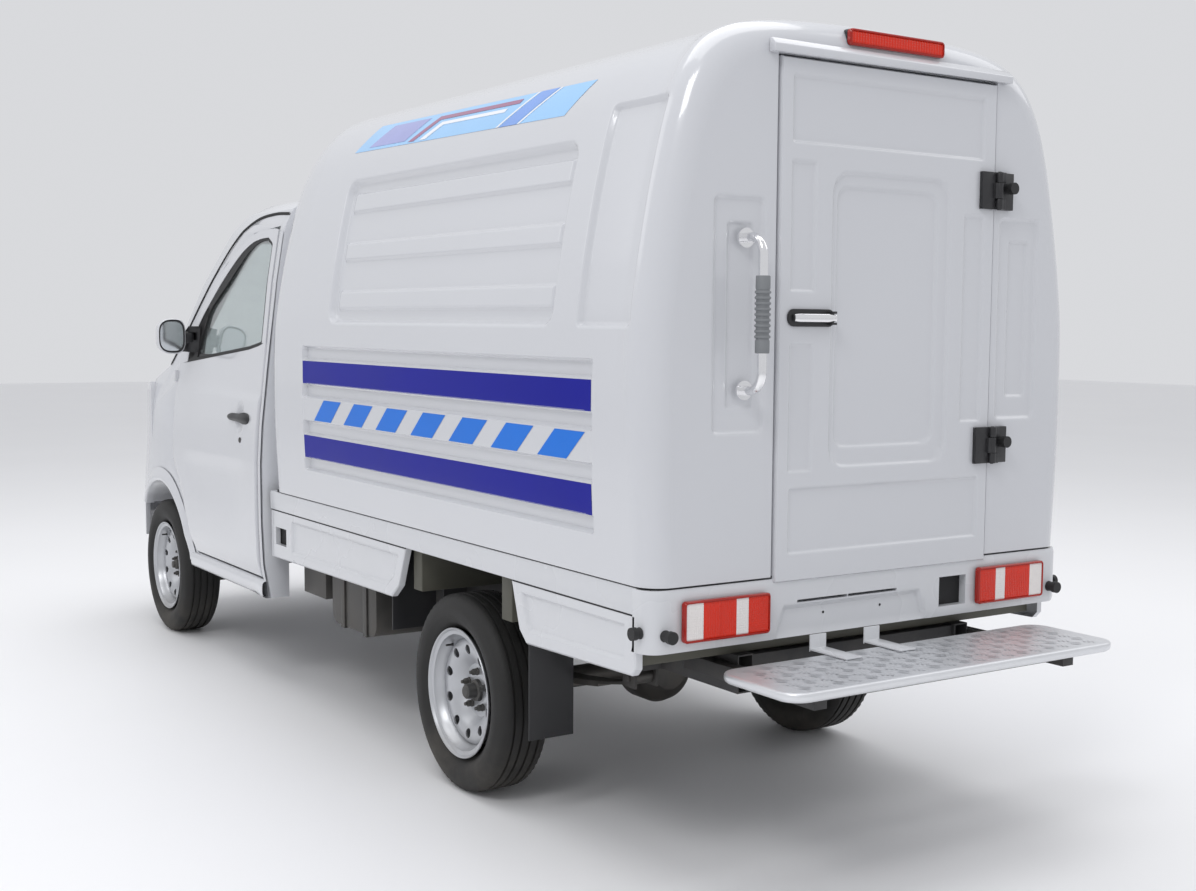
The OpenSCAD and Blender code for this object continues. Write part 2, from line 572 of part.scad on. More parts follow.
// ---------------------------------------------------------------- rear door
lock_z = 1417;
bolt_gap = 0.4;
module rear_door_panel() color("white") in_frame() difference() {
    union() {
        span([door_x0, rear_overhang - door_t, deck_z + 2], [door_x1, rear_overhang, door_z1]);
        span([door_x0, rear_overhang + 1, door_z0], [door_x1, rear_overhang + 6, door_z1 - 4]);
        span([door_x0 + 2, rear_overhang - 2, deck_z + 4], [door_x1 - 2, rear_overhang + 3, door_z1 - 6]);
    }
    // pressed recesses in the outer skin
    rear_plate(rear_overhang + 2, rear_overhang + 30, round_box(door_x0 + 38, 1846, door_x1 - 36, 2016, 14));
    rear_plate(rear_overhang + 2, rear_overhang + 30, round_box(door_x0 + 38, 818, door_x1 - 38, 988, 12));
    rear_plate(rear_overhang + 2, rear_overhang + 30, round_box(-222, 1052, 168, 1772, 46));
    rear_plate(rear_overhang - 3, rear_overhang + 30, round_box(-198, 1080, 158, 1755, 30));
    for (z = [[1026, 1356], [1480, 1808]])
        rear_plate(rear_overhang + 2, rear_overhang + 30, round_box(232, z[0], 314, z[1], 10));
    rear_plate(rear_overhang + 2, rear_overhang + 30, round_box(-368, 1137, -288, 1703, 10));
    // pocket for the lock's bolt
    span([door_x1 - 90, rear_overhang - 29 - bolt_gap, lock_z - 10 - bolt_gap],
        [door_x1 + 1, rear_overhang - 17 + bolt_gap, lock_z + 10 + bolt_gap]);
}
// Hinges: leaves on the body carry the pins, leaves on the door carry the middle knuckle
knuckle_r = 11;
pin_r = 5;
module body_hinge_leaves() color("#202020") in_frame() for (z = hinge_zs) {
    difference() {
        union() {
            span([hinge_x - 62, rear_overhang + touch, z - 50], [hinge_x - 12, rear_overhang + 14, z + 50]);
            for (dz = [-50, 22]) {
                along_z(z + dz, z + dz + 28, hinge_x, hinge_y, knuckle_r);
                span([hinge_x - 20, hinge_y - 8, z + dz], [hinge_x, hinge_y + 6, z + dz + 28]);
            }
        }
        along_z(z - 51, z + 51, hinge_x, hinge_y, pin_r);
    }
    along_z(z - 52, z + 52, hinge_x, hinge_y, pin_r);
}
lever_pivot_x = 186;
lever_y = rear_overhang + 22;
module door_hardware() color("#202020") in_frame() {
    for (z = hinge_zs) difference() {
        union() {
            span([hinge_x + 13, rear_overhang + 6 + touch, z - 50], [hinge_x + 62, rear_overhang + 18, z + 50]);
            along_z(z - 21, z + 21, hinge_x, hinge_y, knuckle_r);
            span([hinge_x, hinge_y - 6, z - 21], [hinge_x + 20, hinge_y + 6, z + 21]);
        }
        along_z(z - 30, z + 30, hinge_x, hinge_y, pin_r + running);
    }
    // lock base with the lever's ears
    difference() {
        union() {
            rear_plate(rear_overhang + 6 + touch, rear_overhang + 12, round_box(170, lock_z - 22, 322, lock_z + 22, 20));
            for (z = [lock_z - 17, lock_z + 11])
                span([lever_pivot_x - 8, rear_overhang + 10, z], [lever_pivot_x + 8, lever_y + 8, z + 6]);
        }
        along_z(lock_z - 30, lock_z + 30, lever_pivot_x, lever_y, 3 + running);
    }
}
module latch_lever() color("silver") in_frame() {
    along_z(lock_z - 19, lock_z + 19, lever_pivot_x, lever_y, 3);
    difference() {
        union() {
            along_z(lock_z - 10.5, lock_z + 10.5, lever_pivot_x, lever_y, 8);
            rear_plate(lever_y - 6, lever_y + 6, round_box(lever_pivot_x, lock_z - 10.5, 310, lock_z + 10.5, 8));
        }
        along_z(lock_z - 30, lock_z + 30, lever_pivot_x, lever_y, 3);
    }
}
module latch_bolt() color("silver") in_frame() {
    // slides towards the door's edge and rests in the body's rebate
    span([door_x1 - 70, rear_overhang - 29, lock_z - 10], [door_x1 + 6, rear_overhang - 17, lock_z + 10]);
}

// ---------------------------------------------------------------- step
step_y1 = rear_overhang + step_reach;
module step_plate() color("silver") in_frame() difference() {
    plan_plate(step_z - step_edge, step_z, round_box(-step_w / 2, step_y1 - step_d, step_w / 2, step_y1, 55));
    plan_plate(step_z - step_edge - 1, step_z - 4,
        round_box(-step_w / 2 + 5, step_y1 - step_d + 5, step_w / 2 - 5, step_y1 - 5, 50));
}
arm_x = 400;
module step_brackets() color("#303030") in_frame() {
    y0 = frame_rear - 180;
    arm_top = step_z - step_edge - touch;
    // two square tubes from the chassis rails, and a cross tube under the plate
    both_sides() span([arm_x + 12, y0, arm_top - 40], [arm_x + 52, step_y1 - 60, arm_top]);
    for (y = [step_y1 - step_d + 60, step_y1 - 90])
        span([-arm_x - 20, y, arm_top - 20], [arm_x + 20, y + 30, step_z - 4 - touch]);
    both_sides() span([rail_x + rail_w / 2, y0, arm_top - 40], [arm_x + 14, y0 + 140, arm_top]);
    // two flat straps from the valance's foot to the plate
    for (x = [10, 196]) {
        span([x - 27, rear_overhang - 3, valance_low - 44], [x + 27, rear_overhang + 2, valance_low - touch]);
        span([x - 27, rear_overhang + 2, step_z + touch], [x + 27, step_y1 - step_d + 90, step_z + 5]);
        span([x - 27, rear_overhang - 3, step_z + touch], [x + 27, rear_overhang + 2, valance_low - 40]);
    }
}

// ---------------------------------------------------------------- cab
cab_rear = -1548;                  // rear wall of the cab, ahead of the cargo body
cab_low = 345;                     // underside of the sills
floor_t = 14;
seat_floor = floor_low + 120;      // top of the raised floor under the seats
brake_z = seat_floor + 20;         // pivot of the handbrake lever
// Side-view outline of the cab without its bonnet, set in by d
function cab_profile(d) = [
    [cab_rear - d, cab_low + d], [cab_rear - d, cab_top - 40 - d], [cab_rear - 40 - d, cab_top - 3 - d],
    [-1730, cab_top - d], [-1930, cab_top - 18 - d], [-2080, cab_top - 80 - d],
    [-2200 + d * 0.5, cab_top - 160 - d * 0.8], [-2430 + d * 0.5, cab_top - 330 - d * 0.8],
    [-2800 + d * 0.6, 1190 - d * 0.6], [-2990 + d * 0.6, 1130 - d * 0.6], [-3010 + d, cab_low + d]];
// Cross-section outline of the cab: tumblehome above the waist, rounded sill, set in by d
function cab_section(d) = let (hw = cab_w / 2) [
    [hw - 28 - d, cab_low], [hw - 6 - d, cab_low + 130], [hw - d, 640], [hw - d, 860], [hw - 8 - d, 1000],
    [hw - 24 - d, 1140], [hw - 70 - d, cab_top - 320], [hw - 102 - d, cab_top - 120],
    [hw - 135 - d, cab_top - 50 - d * 0.4], [hw - 190 - d * 0.6, cab_top - 14 - d], [hw - 300, cab_top - d],
    [-hw + 300, cab_top - d], [-hw + 190 + d * 0.6, cab_top - 14 - d], [-hw + 135 + d, cab_top - 50 - d * 0.4],
    [-hw + 102 + d, cab_top - 120], [-hw + 70 + d, cab_top - 320], [-hw + 24 + d, 1140],
    [-hw + 8 + d, 1000], [-hw + d, 860], [-hw + d, 640], [-hw + 6 + d, cab_low + 130], [-hw + 28 + d, cab_low]];
module cab_body(d) intersection() {
    side_plate(-cab_w, cab_w, cab_profile(d));
    rear_plate(-3100, -1500, cab_section(d));
}
// Door outline in side view: upright rear edge, raked front, cut over the wheel arch
door_rear = -1604;
door_front = -2640;                // hinge edge
cab_door = [[door_rear, 418], [door_rear, cab_top - 118], [-1880, cab_top - 134], [-2150, cab_top - 246],
    [-2452, cab_top - 460], [door_front, 1270], [door_front, 800], [-2520, 640], [-2440, 480], [-2390, 418]];
cab_opening = [for (p = cab_door) [p[0] + (p[0] > -2000 ? cab_gap : -cab_gap), p[1] + (p[1] > 1000 ? cab_gap : -cab_gap)]];
door_window = [[-1640, 1262], [-1640, cab_top - 150], [-1880, cab_top - 166], [-2110, cab_top - 268],
    [-2385, cab_top - 450], [-2400, 1256]];
door_depth = 60;                   // depth of a cab door, from its skin inwards
arch_r = 375;
arch_z = axle_z + 10;
arch_t = 12;                       // thickness of the arch and tower covers
// nose under the bonnet, down to the bumper
module nose_solid() intersection() {
    side_plate(-cab_w, cab_w, nose_profile);
    plan_plate(300, 1300, nose_plan);
}
// the corner of the nose that a headlamp fills, grown by g
module lamp_block(g) side_plate(430 - g, cab_w, [[-3215 + g, 1085 + g], [nose_y - g, 1085 + g],
    [nose_y - g, 925 - g], [-3330 + g, 925 - g]]);
module cab_shell() color("white") in_frame() {
    difference() {
        union() {
            cab_body(0);
            nose_solid();
        }
        // passenger room, whose floor steps up under the seats
        difference() {
            intersection() {
                cab_body(cab_wall);
                side_plate(-cab_w, cab_w, [[cab_rear - cab_wall, seat_floor], [-2120, seat_floor],
                    [-2120, floor_low + floor_t], [-2960, floor_low + floor_t], [-2960, cab_top], [cab_rear - cab_wall, cab_top]]);
            }
            both_sides() {
                along_x(rail_x + 20, 900, front_y, arch_z, arch_r + arch_t);
                span([rail_x - 50 - arch_t, front_y - 90 - arch_t, 400],
                    [rail_x + 200 + arch_t, front_y + 90 + arch_t, tower_z + 30 + arch_t]);
            }
        }
        // open underneath: chassis, engine and the front compartment
        span([-640, -2990, 200], [640, cab_rear + 10, floor_low]);
        span([-440, -2100, 200], [440, cab_rear + 10, seat_floor - floor_t]);
        span([-560, nose_y + 130, 380], [560, -3030, 1000]);
        span([-370, nose_y + 180, 990], [370, -3080, 1200]);
        both_sides() lamp_block(touch);
        both_sides() {
            along_x(rail_x + 32, 900, front_y, arch_z, arch_r);
            span([rail_x - 50, front_y - 90, 200], [rail_x + 200, front_y + 90, tower_z + 30]);
            span([rail_x - rail_w / 2 - 6, nose_y, 200], [rail_x + rail_w / 2 + 6, cab_rear + 10, rail_top + 6]);
            // door openings, cut through the skin and the wall
            side_plate(cab_w / 2 - door_depth - 130, cab_w, cab_opening);
        }
        // windscreen, rear window and wiper spindles
        side_windscreen();
        span([-520, cab_rear - 60, cab_top - 520], [520, cab_rear + 20, cab_top - 150]);
        for (x = wiper_xs) wiper_place(x) translate([0, 0, -60]) cylinder(h = 150, r = 6 + running);
    }
    // hinge blocks that meet the doors' front edges, and the handbrake's bracket
    both_sides() for (z = [850, 1130]) {
            span([cab_w / 2 - 50, door_front - 30, z], [cab_w / 2 - 26, door_front - touch, z + 50]);
            span([cab_w / 2 - 50, door_front - 30, z], [cab_w / 2 - 12, door_front - 12, z + 50]);
        }
    for (x = [-100, -66]) span([x, -1812, seat_floor - 2], [x + 6, -1768, brake_z + 14]);
    along_x(-100, -60, -1790, brake_z, 6);
}
nose_profile = [[-2990, 556 + touch], [-2990, 1118], [-3060, 1112], [-3300, 1070], [nose_y + 110, 1010],
    [nose_y + 70, 900], [nose_y + 62, 556 + touch]];
nose_plan = [[-cab_w / 2, -2900], [-cab_w / 2, -3200], [-cab_w / 2 + 30, -3380], [-cab_w / 2 + 110, nose_y + 80],
    [-cab_w / 2 + 220, nose_y + 50], [cab_w / 2 - 220, nose_y + 50], [cab_w / 2 - 110, nose_y + 80],
    [cab_w / 2 - 30, -3380], [cab_w / 2, -3200], [cab_w / 2, -2900]];
wiper_xs = [60, -400];
module wiper_place(x) translate([x, -2972, 1095]) rotate([38, 0, 0]) children();
// The windscreen's opening: a slab square to the raked pillar line
module side_windscreen()
    rear_plate(-2850, -2150, [[-610, 1190], [610, 1190], [520, cab_top - 150], [-520, cab_top - 150]]);
module cab_glass() color("lightblue") in_frame() {
    intersection() {
        difference() { cab_body(2); cab_body(7); }
        rear_plate(-2845, -2155, [[-609.6, 1190.4], [609.6, 1190.4], [519.6, cab_top - 150.4], [-519.6, cab_top - 150.4]]);
    }
    span([-519.6, cab_rear - 16, cab_top - 519.6], [519.6, cab_rear - 10, cab_top - 150.4]);
}
module front_bumper() color("white") in_frame() difference() {
    plan_plate(395, 556, [[-cab_w / 2 + 2, -3215], [-cab_w / 2 + 2, -3250], [-cab_w / 2 + 30, -3400],
        [-cab_w / 2 + 110, nose_y + 40], [-cab_w / 2 + 220, nose_y + 6], [-300, nose_y], [300, nose_y],
        [cab_w / 2 - 220, nose_y + 6], [cab_w / 2 - 110, nose_y + 40], [cab_w / 2 - 30, -3400],
        [cab_w / 2 - 2, -3250], [cab_w / 2 - 2, -3215], [cab_w / 2 - 24, -3215], [cab_w / 2 - 24, -3250],
        [cab_w / 2 - 52, -3388], [cab_w / 2 - 122, nose_y + 58.5], [cab_w / 2 - 222, nose_y + 49],
        [-cab_w / 2 + 222, nose_y + 49], [-cab_w / 2 + 122, nose_y + 58.5], [-cab_w / 2 + 52, -3388],
        [-cab_w / 2 + 24, -3250], [-cab_w / 2 + 24, -3215]]);
    // intake and number-plate screw holes
    span([-260, nose_y - 10, 425], [260, nose_y + 30, 500]);
    for (x = [-1, 1] * plate_holes / 2) along_y(nose_y - 20, nose_y + 80, x, 530, 4);
}
module headlamps() color("lightgray") in_frame() both_sides() intersection() {
    nose_solid();
    lamp_block(0);
}
module bonnet() color("white") in_frame() {
    // service lid over the hatch in the nose
    side_plate(-425, 425, [[-3040, 1114 + touch], [-3040, 1132], [-3064, 1129], [-3304, 1087], [nose_y + 92, 1024],
        [nose_y + 104, 1010], [nose_y + 110, 1010 + touch], [-3300, 1070 + touch], [-3060, 1112 + touch]]);
}

// ---------------------------------------------------------------- cab doors
glass_slope = 0.1126;              // outward run of the glass for each unit down
waist_z = 1256;
glass_x = cab_w / 2 - 48;          // glass centre plane at the waist
function glass_at(z) = glass_x - (z - waist_z) * glass_slope;
glass_t = 5;
module glass_slab(z0, z1, y0, y1, half)
    rear_plate(y0, y1, [[glass_at(z0) - half, z0], [glass_at(z0) + half, z0], [glass_at(z1) + half, z1], [glass_at(z1) - half, z1]]);
// The door's outline cut from the cab's side wall, to depth d
module door_skin(d) intersection() {
    difference() {
        rear_plate(-3000, -1500, cab_section(0));
        rear_plate(-3001, -1499, cab_section(d));
    }
    side_plate(300, cab_w, cab_door);
}
module cab_door(side) color("white") in_frame() mirror([side < 0 ? 1 : 0, 0, 0]) {
    difference() {
        union() {
            door_skin(28);
            intersection() {
                door_skin(door_depth);
                span([300, -3000, 400], [900, -1500, waist_z - 6]);
            }
        }
        side_plate(300, cab_w, door_window);
        // slot that the glass drops into
        glass_slab(925, waist_z + 20, -2404, -1636, glass_t / 2 + 0.5);
        // recess behind the outside handle, and its pivot's bore
        translate([cab_w / 2 - 26, handle_y, handle_z]) rotate([0, 90, 0]) cylinder(h = 60, r = 44);
        along_y(handle_y - 90, handle_y + 90, cab_w / 2 - 13, handle_z + 16, 3 + running);
        // keyhole
        along_x(cab_w / 2 - 20, cab_w, handle_y - 20, handle_z - 85, 7);
    }
    // inside pull and armrest
    span([cab_w / 2 - door_depth - 58, -2350, 840], [cab_w / 2 - door_depth + 2, -1980, 880]);
    // mirror foot
    difference() {
        side_plate(cab_w / 2 - 60, cab_w / 2 + 6, [[-2540, waist_z + 8], [-2406, waist_z + 8], [-2406, 1372], [-2452, 1352]]);
        along_z(1200, 1400, mirror_x, mirror_y, 6 + running);
        span([mirror_x - 24, mirror_y - 30, 1314], [mirror_x + 40, mirror_y + 60, 1346]);
    }
}
handle_y = -1790;
handle_z = 1020;
mirror_y = -2425;
mirror_x = cab_w / 2 - 8;
module left_cab_door() cab_door(1);
module right_cab_door() cab_door(-1);
module door_pane(side) color("lightblue") in_frame() mirror([side < 0 ? 1 : 0, 0, 0]) intersection() {
    glass_slab(1200, 1800, -2600, -1600, glass_t / 2);
    side_plate(300, cab_w, [[-1641, 1240], [-1641, cab_top - 151], [-1879.8, cab_top - 167.2], [-2109.3, cab_top - 269],
        [-2384.2, cab_top - 451], [-2399.2, 1255], [-2399.2, 1240]]);
}
module left_door_glass() door_pane(1);
module right_door_glass() door_pane(-1);
module outside_handle(side) color("#202020") in_frame() mirror([side < 0 ? 1 : 0, 0, 0]) {
    // pull flap over the recess, on its pivot pin
    along_y(handle_y - 80, handle_y + 80, cab_w / 2 - 13, handle_z + 16, 3);
    difference() {
        union() {
            span([cab_w / 2 - 4, handle_y - 88, handle_z - 20], [cab_w / 2 + 8, handle_y + 88, handle_z + 22]);
            span([cab_w / 2 - 17, handle_y - 30, handle_z + 11], [cab_w / 2 - 4, handle_y + 30, handle_z + 21]);
        }
        along_y(handle_y - 99, handle_y + 99, cab_w / 2 - 13, handle_z + 16, 3);
    }
}
module left_door_handle() outside_handle(1);
module right_door_handle() outside_handle(-1);
module mirror_unit(side) color("white") in_frame() mirror([side < 0 ? 1 : 0, 0, 0]) {
    along_z(waist_z + 12, 1368, mirror_x, mirror_y, 6);
    difference() {
        union() {
            // arm and shell, open to the rear for the mirror glass
            span([mirror_x, mirror_y - 14, 1314.4], [mirror_x + 50, mirror_y + 14, 1345.6]);
            along_z(1314.4, 1345.6, mirror_x, mirror_y, 14);
            plan_plate(1268, 1402, [[mirror_x + 26, mirror_y + 30], [mirror_x + 26, mirror_y - 22], [mirror_x + 54, mirror_y - 46],
                [mirror_x + 120, mirror_y - 38], [mirror_x + 142, mirror_y], [mirror_x + 142, mirror_y + 30]]);
        }
        span([mirror_x + 31, mirror_y + 16, 1274], [mirror_x + 137, mirror_y + 40, 1396]);
    }
    // the mirror glass in its shell
    span([mirror_x + 31 + touch, mirror_y + 16 + touch, 1274 + touch], [mirror_x + 137 - touch, mirror_y + 22, 1396 - touch]);
}
module left_mirror() mirror_unit(1);
module right_mirror() mirror_unit(-1);

// ---------------------------------------------------------------- cab interior and controls
pedal_z = 860;                     // height of the pedals' pivot
pedal_y = -2680;
wheel_c = [340, -2400, 1080];      // steering wheel's centre
column_tilt = 60;                  // angle of the column from upright
module steering_wheel() color("#282828") in_frame() on_column() {
    rotate_extrude($fn = 96) translate([steering_d / 2 - 13, 0]) circle(r = 13);
    for (a = [-25, 205]) rotate([0, 0, a]) translate([30, -14, -16]) cube([steering_d / 2 - 46, 28, 12]);
    rotate([0, 0, 90 + 180]) translate([30, -14, -16]) cube([steering_d / 2 - 46, 28, 12]);
    translate([0, 0, -30]) cylinder(h = 30, r = 58);
    translate([0, 0, -200]) cylinder(h = 172, r = 11);
}
module on_column() translate(wheel_c) rotate([-column_tilt, 0, 0]) children();
module dashboard() color("#454545") in_frame() {
    difference() {
        intersection() {
            side_plate(-cab_w, cab_w, [[-2952, 880], [-2952, 1085], [-2700, 1085], [-2640, 1050], [-2650, 900], [-2720, 880]]);
            cab_body(cab_wall + 44);
        }
        // instrument recess, open shelf on the passenger's side, and the column's seat
        span([wheel_c[0] - 150, -2700, 990], [wheel_c[0] + 150, -2600, 1040]);
        span([-560, -2800, 910], [-80, -2600, 1000]);
        on_column() translate([0, 0, -345]) cylinder(h = 200, r = 30 + touch);
    }
    // column tube that the steering shaft turns in
    on_column() translate([0, 0, -340]) difference() {
        cylinder(h = 290, r = 30);
        translate([0, 0, 100]) cylinder(h = 200, r = 11 + running);
    }
    // bar that the pedals hang on
    along_x(181, 404, pedal_y, pedal_z, 8);
    for (x = [181, 252, 330, 404]) span([x - 4, pedal_y - 10, pedal_z - 9], [x + 4, pedal_y + 10, 896]);
}
seat_y = -2010;
module seats() color("dimgray") in_frame() for (x = [-345, 345]) {
    translate([x, seat_y, 0]) {
        rotate([90, 0, 90]) translate([0, 0, -225]) linear_extrude(height = 450)
            polygon(round_box(-100, seat_floor + touch, 210, seat_floor + 138, 40));
        translate([0, 204.4, seat_floor + 20]) rotate([-8, 0, 0]) rotate([90, 0, 90]) translate([0, 0, -215]) linear_extrude(height = 430)
            polygon(round_box(0, 0, 105, 560, 45));
    }
}
shift_z = floor_low + floor_t + 14 + touch;
module gear_lever() color("#282828") in_frame() {
    along_z(shift_z, 930, 0, -2240, 7);
    translate([0, -2240, shift_z]) sphere(r = 14);
    translate([0, -2240, 940]) sphere(r = 24);
}
module handbrake_lever() color("#282828") in_frame() {
    difference() {
        union() {
            span([-92, -2110, brake_z - 14], [-68, -1790, brake_z + 14]);
            along_x(-92, -68, -1790, brake_z, 14);
        }
        along_x(-100, -60, -1790, brake_z, 6 + running);
    }
    along_y(-2160, -2040, -80, brake_z, 17);
}
module pedal(x, w) {
    difference() {
        union() {
            along_x(x - 12, x + 12, pedal_y, pedal_z, 14);
            span([x - 5, pedal_y - 8, 700], [x + 5, pedal_y + 8, pedal_z]);
            span([x - w / 2, pedal_y - 8, 655], [x + w / 2, pedal_y + 8, 710]);
        }
        along_x(x - 40, x + 40, pedal_y, pedal_z, 8 + running);
    }
}
module clutch_pedal() color("#282828") in_frame() pedal(368, 60);
module brake_pedal() color("#282828") in_frame() pedal(290, 60);
module accelerator_pedal() color("#282828") in_frame() pedal(216, 40);

module wiper(x) {
    // spindle through the scuttle, arm and blade lying across the foot of the glass
    wiper_place(x) {
        cylinder(h = 60, r = 6);
        translate([0, 0, 48]) cylinder(h = 12, r = 13);
        translate([0, -6, 52]) cube([430, 12, 6]);
        translate([110, 5, 44]) cube([330, 8, 14]);
    }
}
module left_wiper() color("#202020") in_frame() wiper(wiper_xs[0]);
module right_wiper() color("#202020") in_frame() wiper(wiper_xs[1]);

// ---------------------------------------------------------------- steering rack and liners
module steering_rack() color("gray") in_frame() {
    along_x(-548, 548, rack_y, axle_z, 11);
    both_sides() along_x(530, 552, rack_y, axle_z, 15);
}
module wheel_arch_liners() color("#5a5a4c") in_frame() both_sides() {
    // front wall and roof of the rear arch, and the mud flap behind the tyre
    x0 = deck_w / 2 - 190;
    x1 = deck_w / 2 - 34;
    span([x0, -500, 400], [x1, -494, deck_z - board_t - touch]);
    span([x0, -270 + touch, 700], [x1, 250 - touch, 706]);
    span([545, 400, 242], [x1, 406, deck_z - board_t - touch]);
}

chassis_frame();
deck_platform();
side_skirts();
rear_valance();
tail_lamp_housings();
lamp_lenses();
rubber_buffers();
cargo_body();
door_seal();
drip_rail();
body_hinge_leaves();
grab_handle();
handle_grip();
step_plate();
step_brackets();
cab_shell();
cab_glass();
front_bumper();
headlamps();
dashboard();
seats();
powertrain();
steering_rack();
wheel_arch_liners();
suspension_springs();
rear_door_panel();
door_hardware();
latch_lever();
latch_bolt();
left_cab_door();
right_cab_door();
left_door_glass();
right_door_glass();
left_door_handle();
right_door_handle();
left_mirror();
right_mirror();
steering_wheel();
left_strut();
right_strut();
left_knuckle();
right_knuckle();
rear_axle();
propshaft();
bonnet();
tyre_front_left();
tyre_front_right();
tyre_rear_left();
tyre_rear_right();
rim_front_left();
rim_front_right();
rim_rear_left();
rim_rear_right();
gear_lever();
handbrake_lever();
left_wiper();
right_wiper();
clutch_pedal();
brake_pedal();
accelerator_pedal();
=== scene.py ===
"""Mail delivery truck: the looks of the cab, the moulded cargo body, the rear step and the wheels.
Metres. +Z up, -Y is the front of the truck, +X is its left side, the origin is on the ground."""

import json
import math

import bmesh
import bpy
import numpy as np
from mathutils import Matrix, Vector


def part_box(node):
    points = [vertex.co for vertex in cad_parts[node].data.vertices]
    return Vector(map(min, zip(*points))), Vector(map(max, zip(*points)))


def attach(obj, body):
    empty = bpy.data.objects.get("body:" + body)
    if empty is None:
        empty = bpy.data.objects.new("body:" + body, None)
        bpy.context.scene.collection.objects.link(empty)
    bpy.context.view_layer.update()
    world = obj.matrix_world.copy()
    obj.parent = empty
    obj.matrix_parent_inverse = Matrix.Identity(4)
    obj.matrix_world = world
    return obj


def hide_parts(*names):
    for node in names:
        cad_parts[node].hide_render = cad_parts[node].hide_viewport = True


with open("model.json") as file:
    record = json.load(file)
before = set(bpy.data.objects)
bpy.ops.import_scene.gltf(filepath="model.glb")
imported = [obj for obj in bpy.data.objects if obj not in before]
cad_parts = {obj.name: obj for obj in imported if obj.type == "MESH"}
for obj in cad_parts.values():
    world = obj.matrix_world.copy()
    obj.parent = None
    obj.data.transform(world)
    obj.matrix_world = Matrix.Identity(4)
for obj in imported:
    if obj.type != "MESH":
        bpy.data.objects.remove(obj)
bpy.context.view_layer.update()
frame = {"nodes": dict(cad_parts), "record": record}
NODES = frame["nodes"]
BODIES = frame["record"]["behaviour"]["bodies"]
BODY_OF = {node: body for body, members in BODIES.items() for node in members}


# ------------------------------------------------------------------ shader expressions
class Socket:
    """A shader value; an expression on values adds the Math nodes that work it out."""

    def __init__(self, tree, link):
        self.tree = tree
        self.link = link

    def put(self, kind, settings=None, out=0, **inputs):
        node = self.tree.nodes.new(kind)
        for name, value in (settings or {}).items():
            if name == "stops":
                ramp = node.color_ramp.elements
                ramp[0].position, ramp[0].color = value[0][0], shade(value[0][1])
                ramp[1].position, ramp[1].color = value[-1][0], shade(value[-1][1])
                for place, colour in value[1:-1]:
                    ramp.new(place).color = shade(colour)
            else:
                setattr(node, name, value)
        for name, value in inputs.items():
            key = int(name[1:]) if name[0] == "i" and name[1:].isdigit() else name.replace("_", " ")
            if isinstance(value, Socket):
                self.tree.links.new(value.link, node.inputs[key])
            else:
                node.inputs[key].default_value = value
        return Socket(self.tree, node.outputs[out])

    def math(self, operation, *values):
        return self.put("ShaderNodeMath", {"operation": operation},
                        **{f"i{i}": v for i, v in enumerate(values)})

    def __add__(self, other):
        return self.math("ADD", self, other)

    def __radd__(self, other):
        return self.math("ADD", other, self)

    def __sub__(self, other):
        return self.math("SUBTRACT", self, other)

    def __rsub__(self, other):
        return self.math("SUBTRACT", other, self)

    def __mul__(self, other):
        return self.math("MULTIPLY", self, other)

    def __rmul__(self, other):
        return self.math("MULTIPLY", other, self)

    def __truediv__(self, other):
        return self.math("DIVIDE", self, other)

    def __gt__(self, other):
        return self.math("GREATER_THAN", self, other)

    def __lt__(self, other):
        return self.math("LESS_THAN", self, other)

    def clamped(self):
        return self.put("ShaderNodeClamp", Value=self)

    def ramp(self, low, high):
        """0 below low, 1 above high, even between."""
        return self.put("ShaderNodeMapRange", Value=self, From_Min=low, From_Max=high)


def shade(colour):
    """A colour with its alpha."""
    return (*colour, 1.0) if len(colour) == 3 else colour


def mix(factor, a, b):
    """Colour a where factor is 0, b where it is 1."""
    inputs = {"Factor": factor, "i6": shade(a) if isinstance(a, tuple) else a,
              "i7": shade(b) if isinstance(b, tuple) else b}
    return factor.put("ShaderNodeMix", {"data_type": "RGBA"}, out=2, **inputs)


class Finish:
    """A material on the principled shader, with helpers for the patterns on it."""

    def __init__(self, name, **constants):
        self.material = bpy.data.materials.new(name)
        self.material.use_nodes = True
        self.tree = self.material.node_tree
        self.shader = self.tree.nodes["Principled BSDF"]
        place = self.tree.nodes.new("ShaderNodeTexCoord")
        self.place = Socket(self.tree, place.outputs["Object"])
        for key, value in constants.items():
            socket = self.shader.inputs[key.replace("_", " ")]
            colour = isinstance(value, tuple) and len(value) == 3
            socket.default_value = shade(value) if colour else value

    def axes(self):
        node = self.tree.nodes.new("ShaderNodeSeparateXYZ")
        self.tree.links.new(self.place.link, node.inputs[0])
        return [Socket(self.tree, out) for out in node.outputs]

    def noise(self, scale, detail=3.0, rough=0.5, stretch=(1, 1, 1)):
        where = self.place
        if stretch != (1, 1, 1):
            where = self.place.put("ShaderNodeMapping", Vector=self.place, Scale=stretch)
        return self.place.put("ShaderNodeTexNoise", Vector=where, Scale=scale, Detail=detail,
                              Roughness=rough)

    def drive(self, name, value):
        self.tree.links.new(value.link, self.shader.inputs[name])

    def bump(self, height, strength, distance):
        up = height.put("ShaderNodeBump", Height=height, Strength=strength, Distance=distance)
        self.tree.links.new(up.link, self.shader.inputs["Normal"])


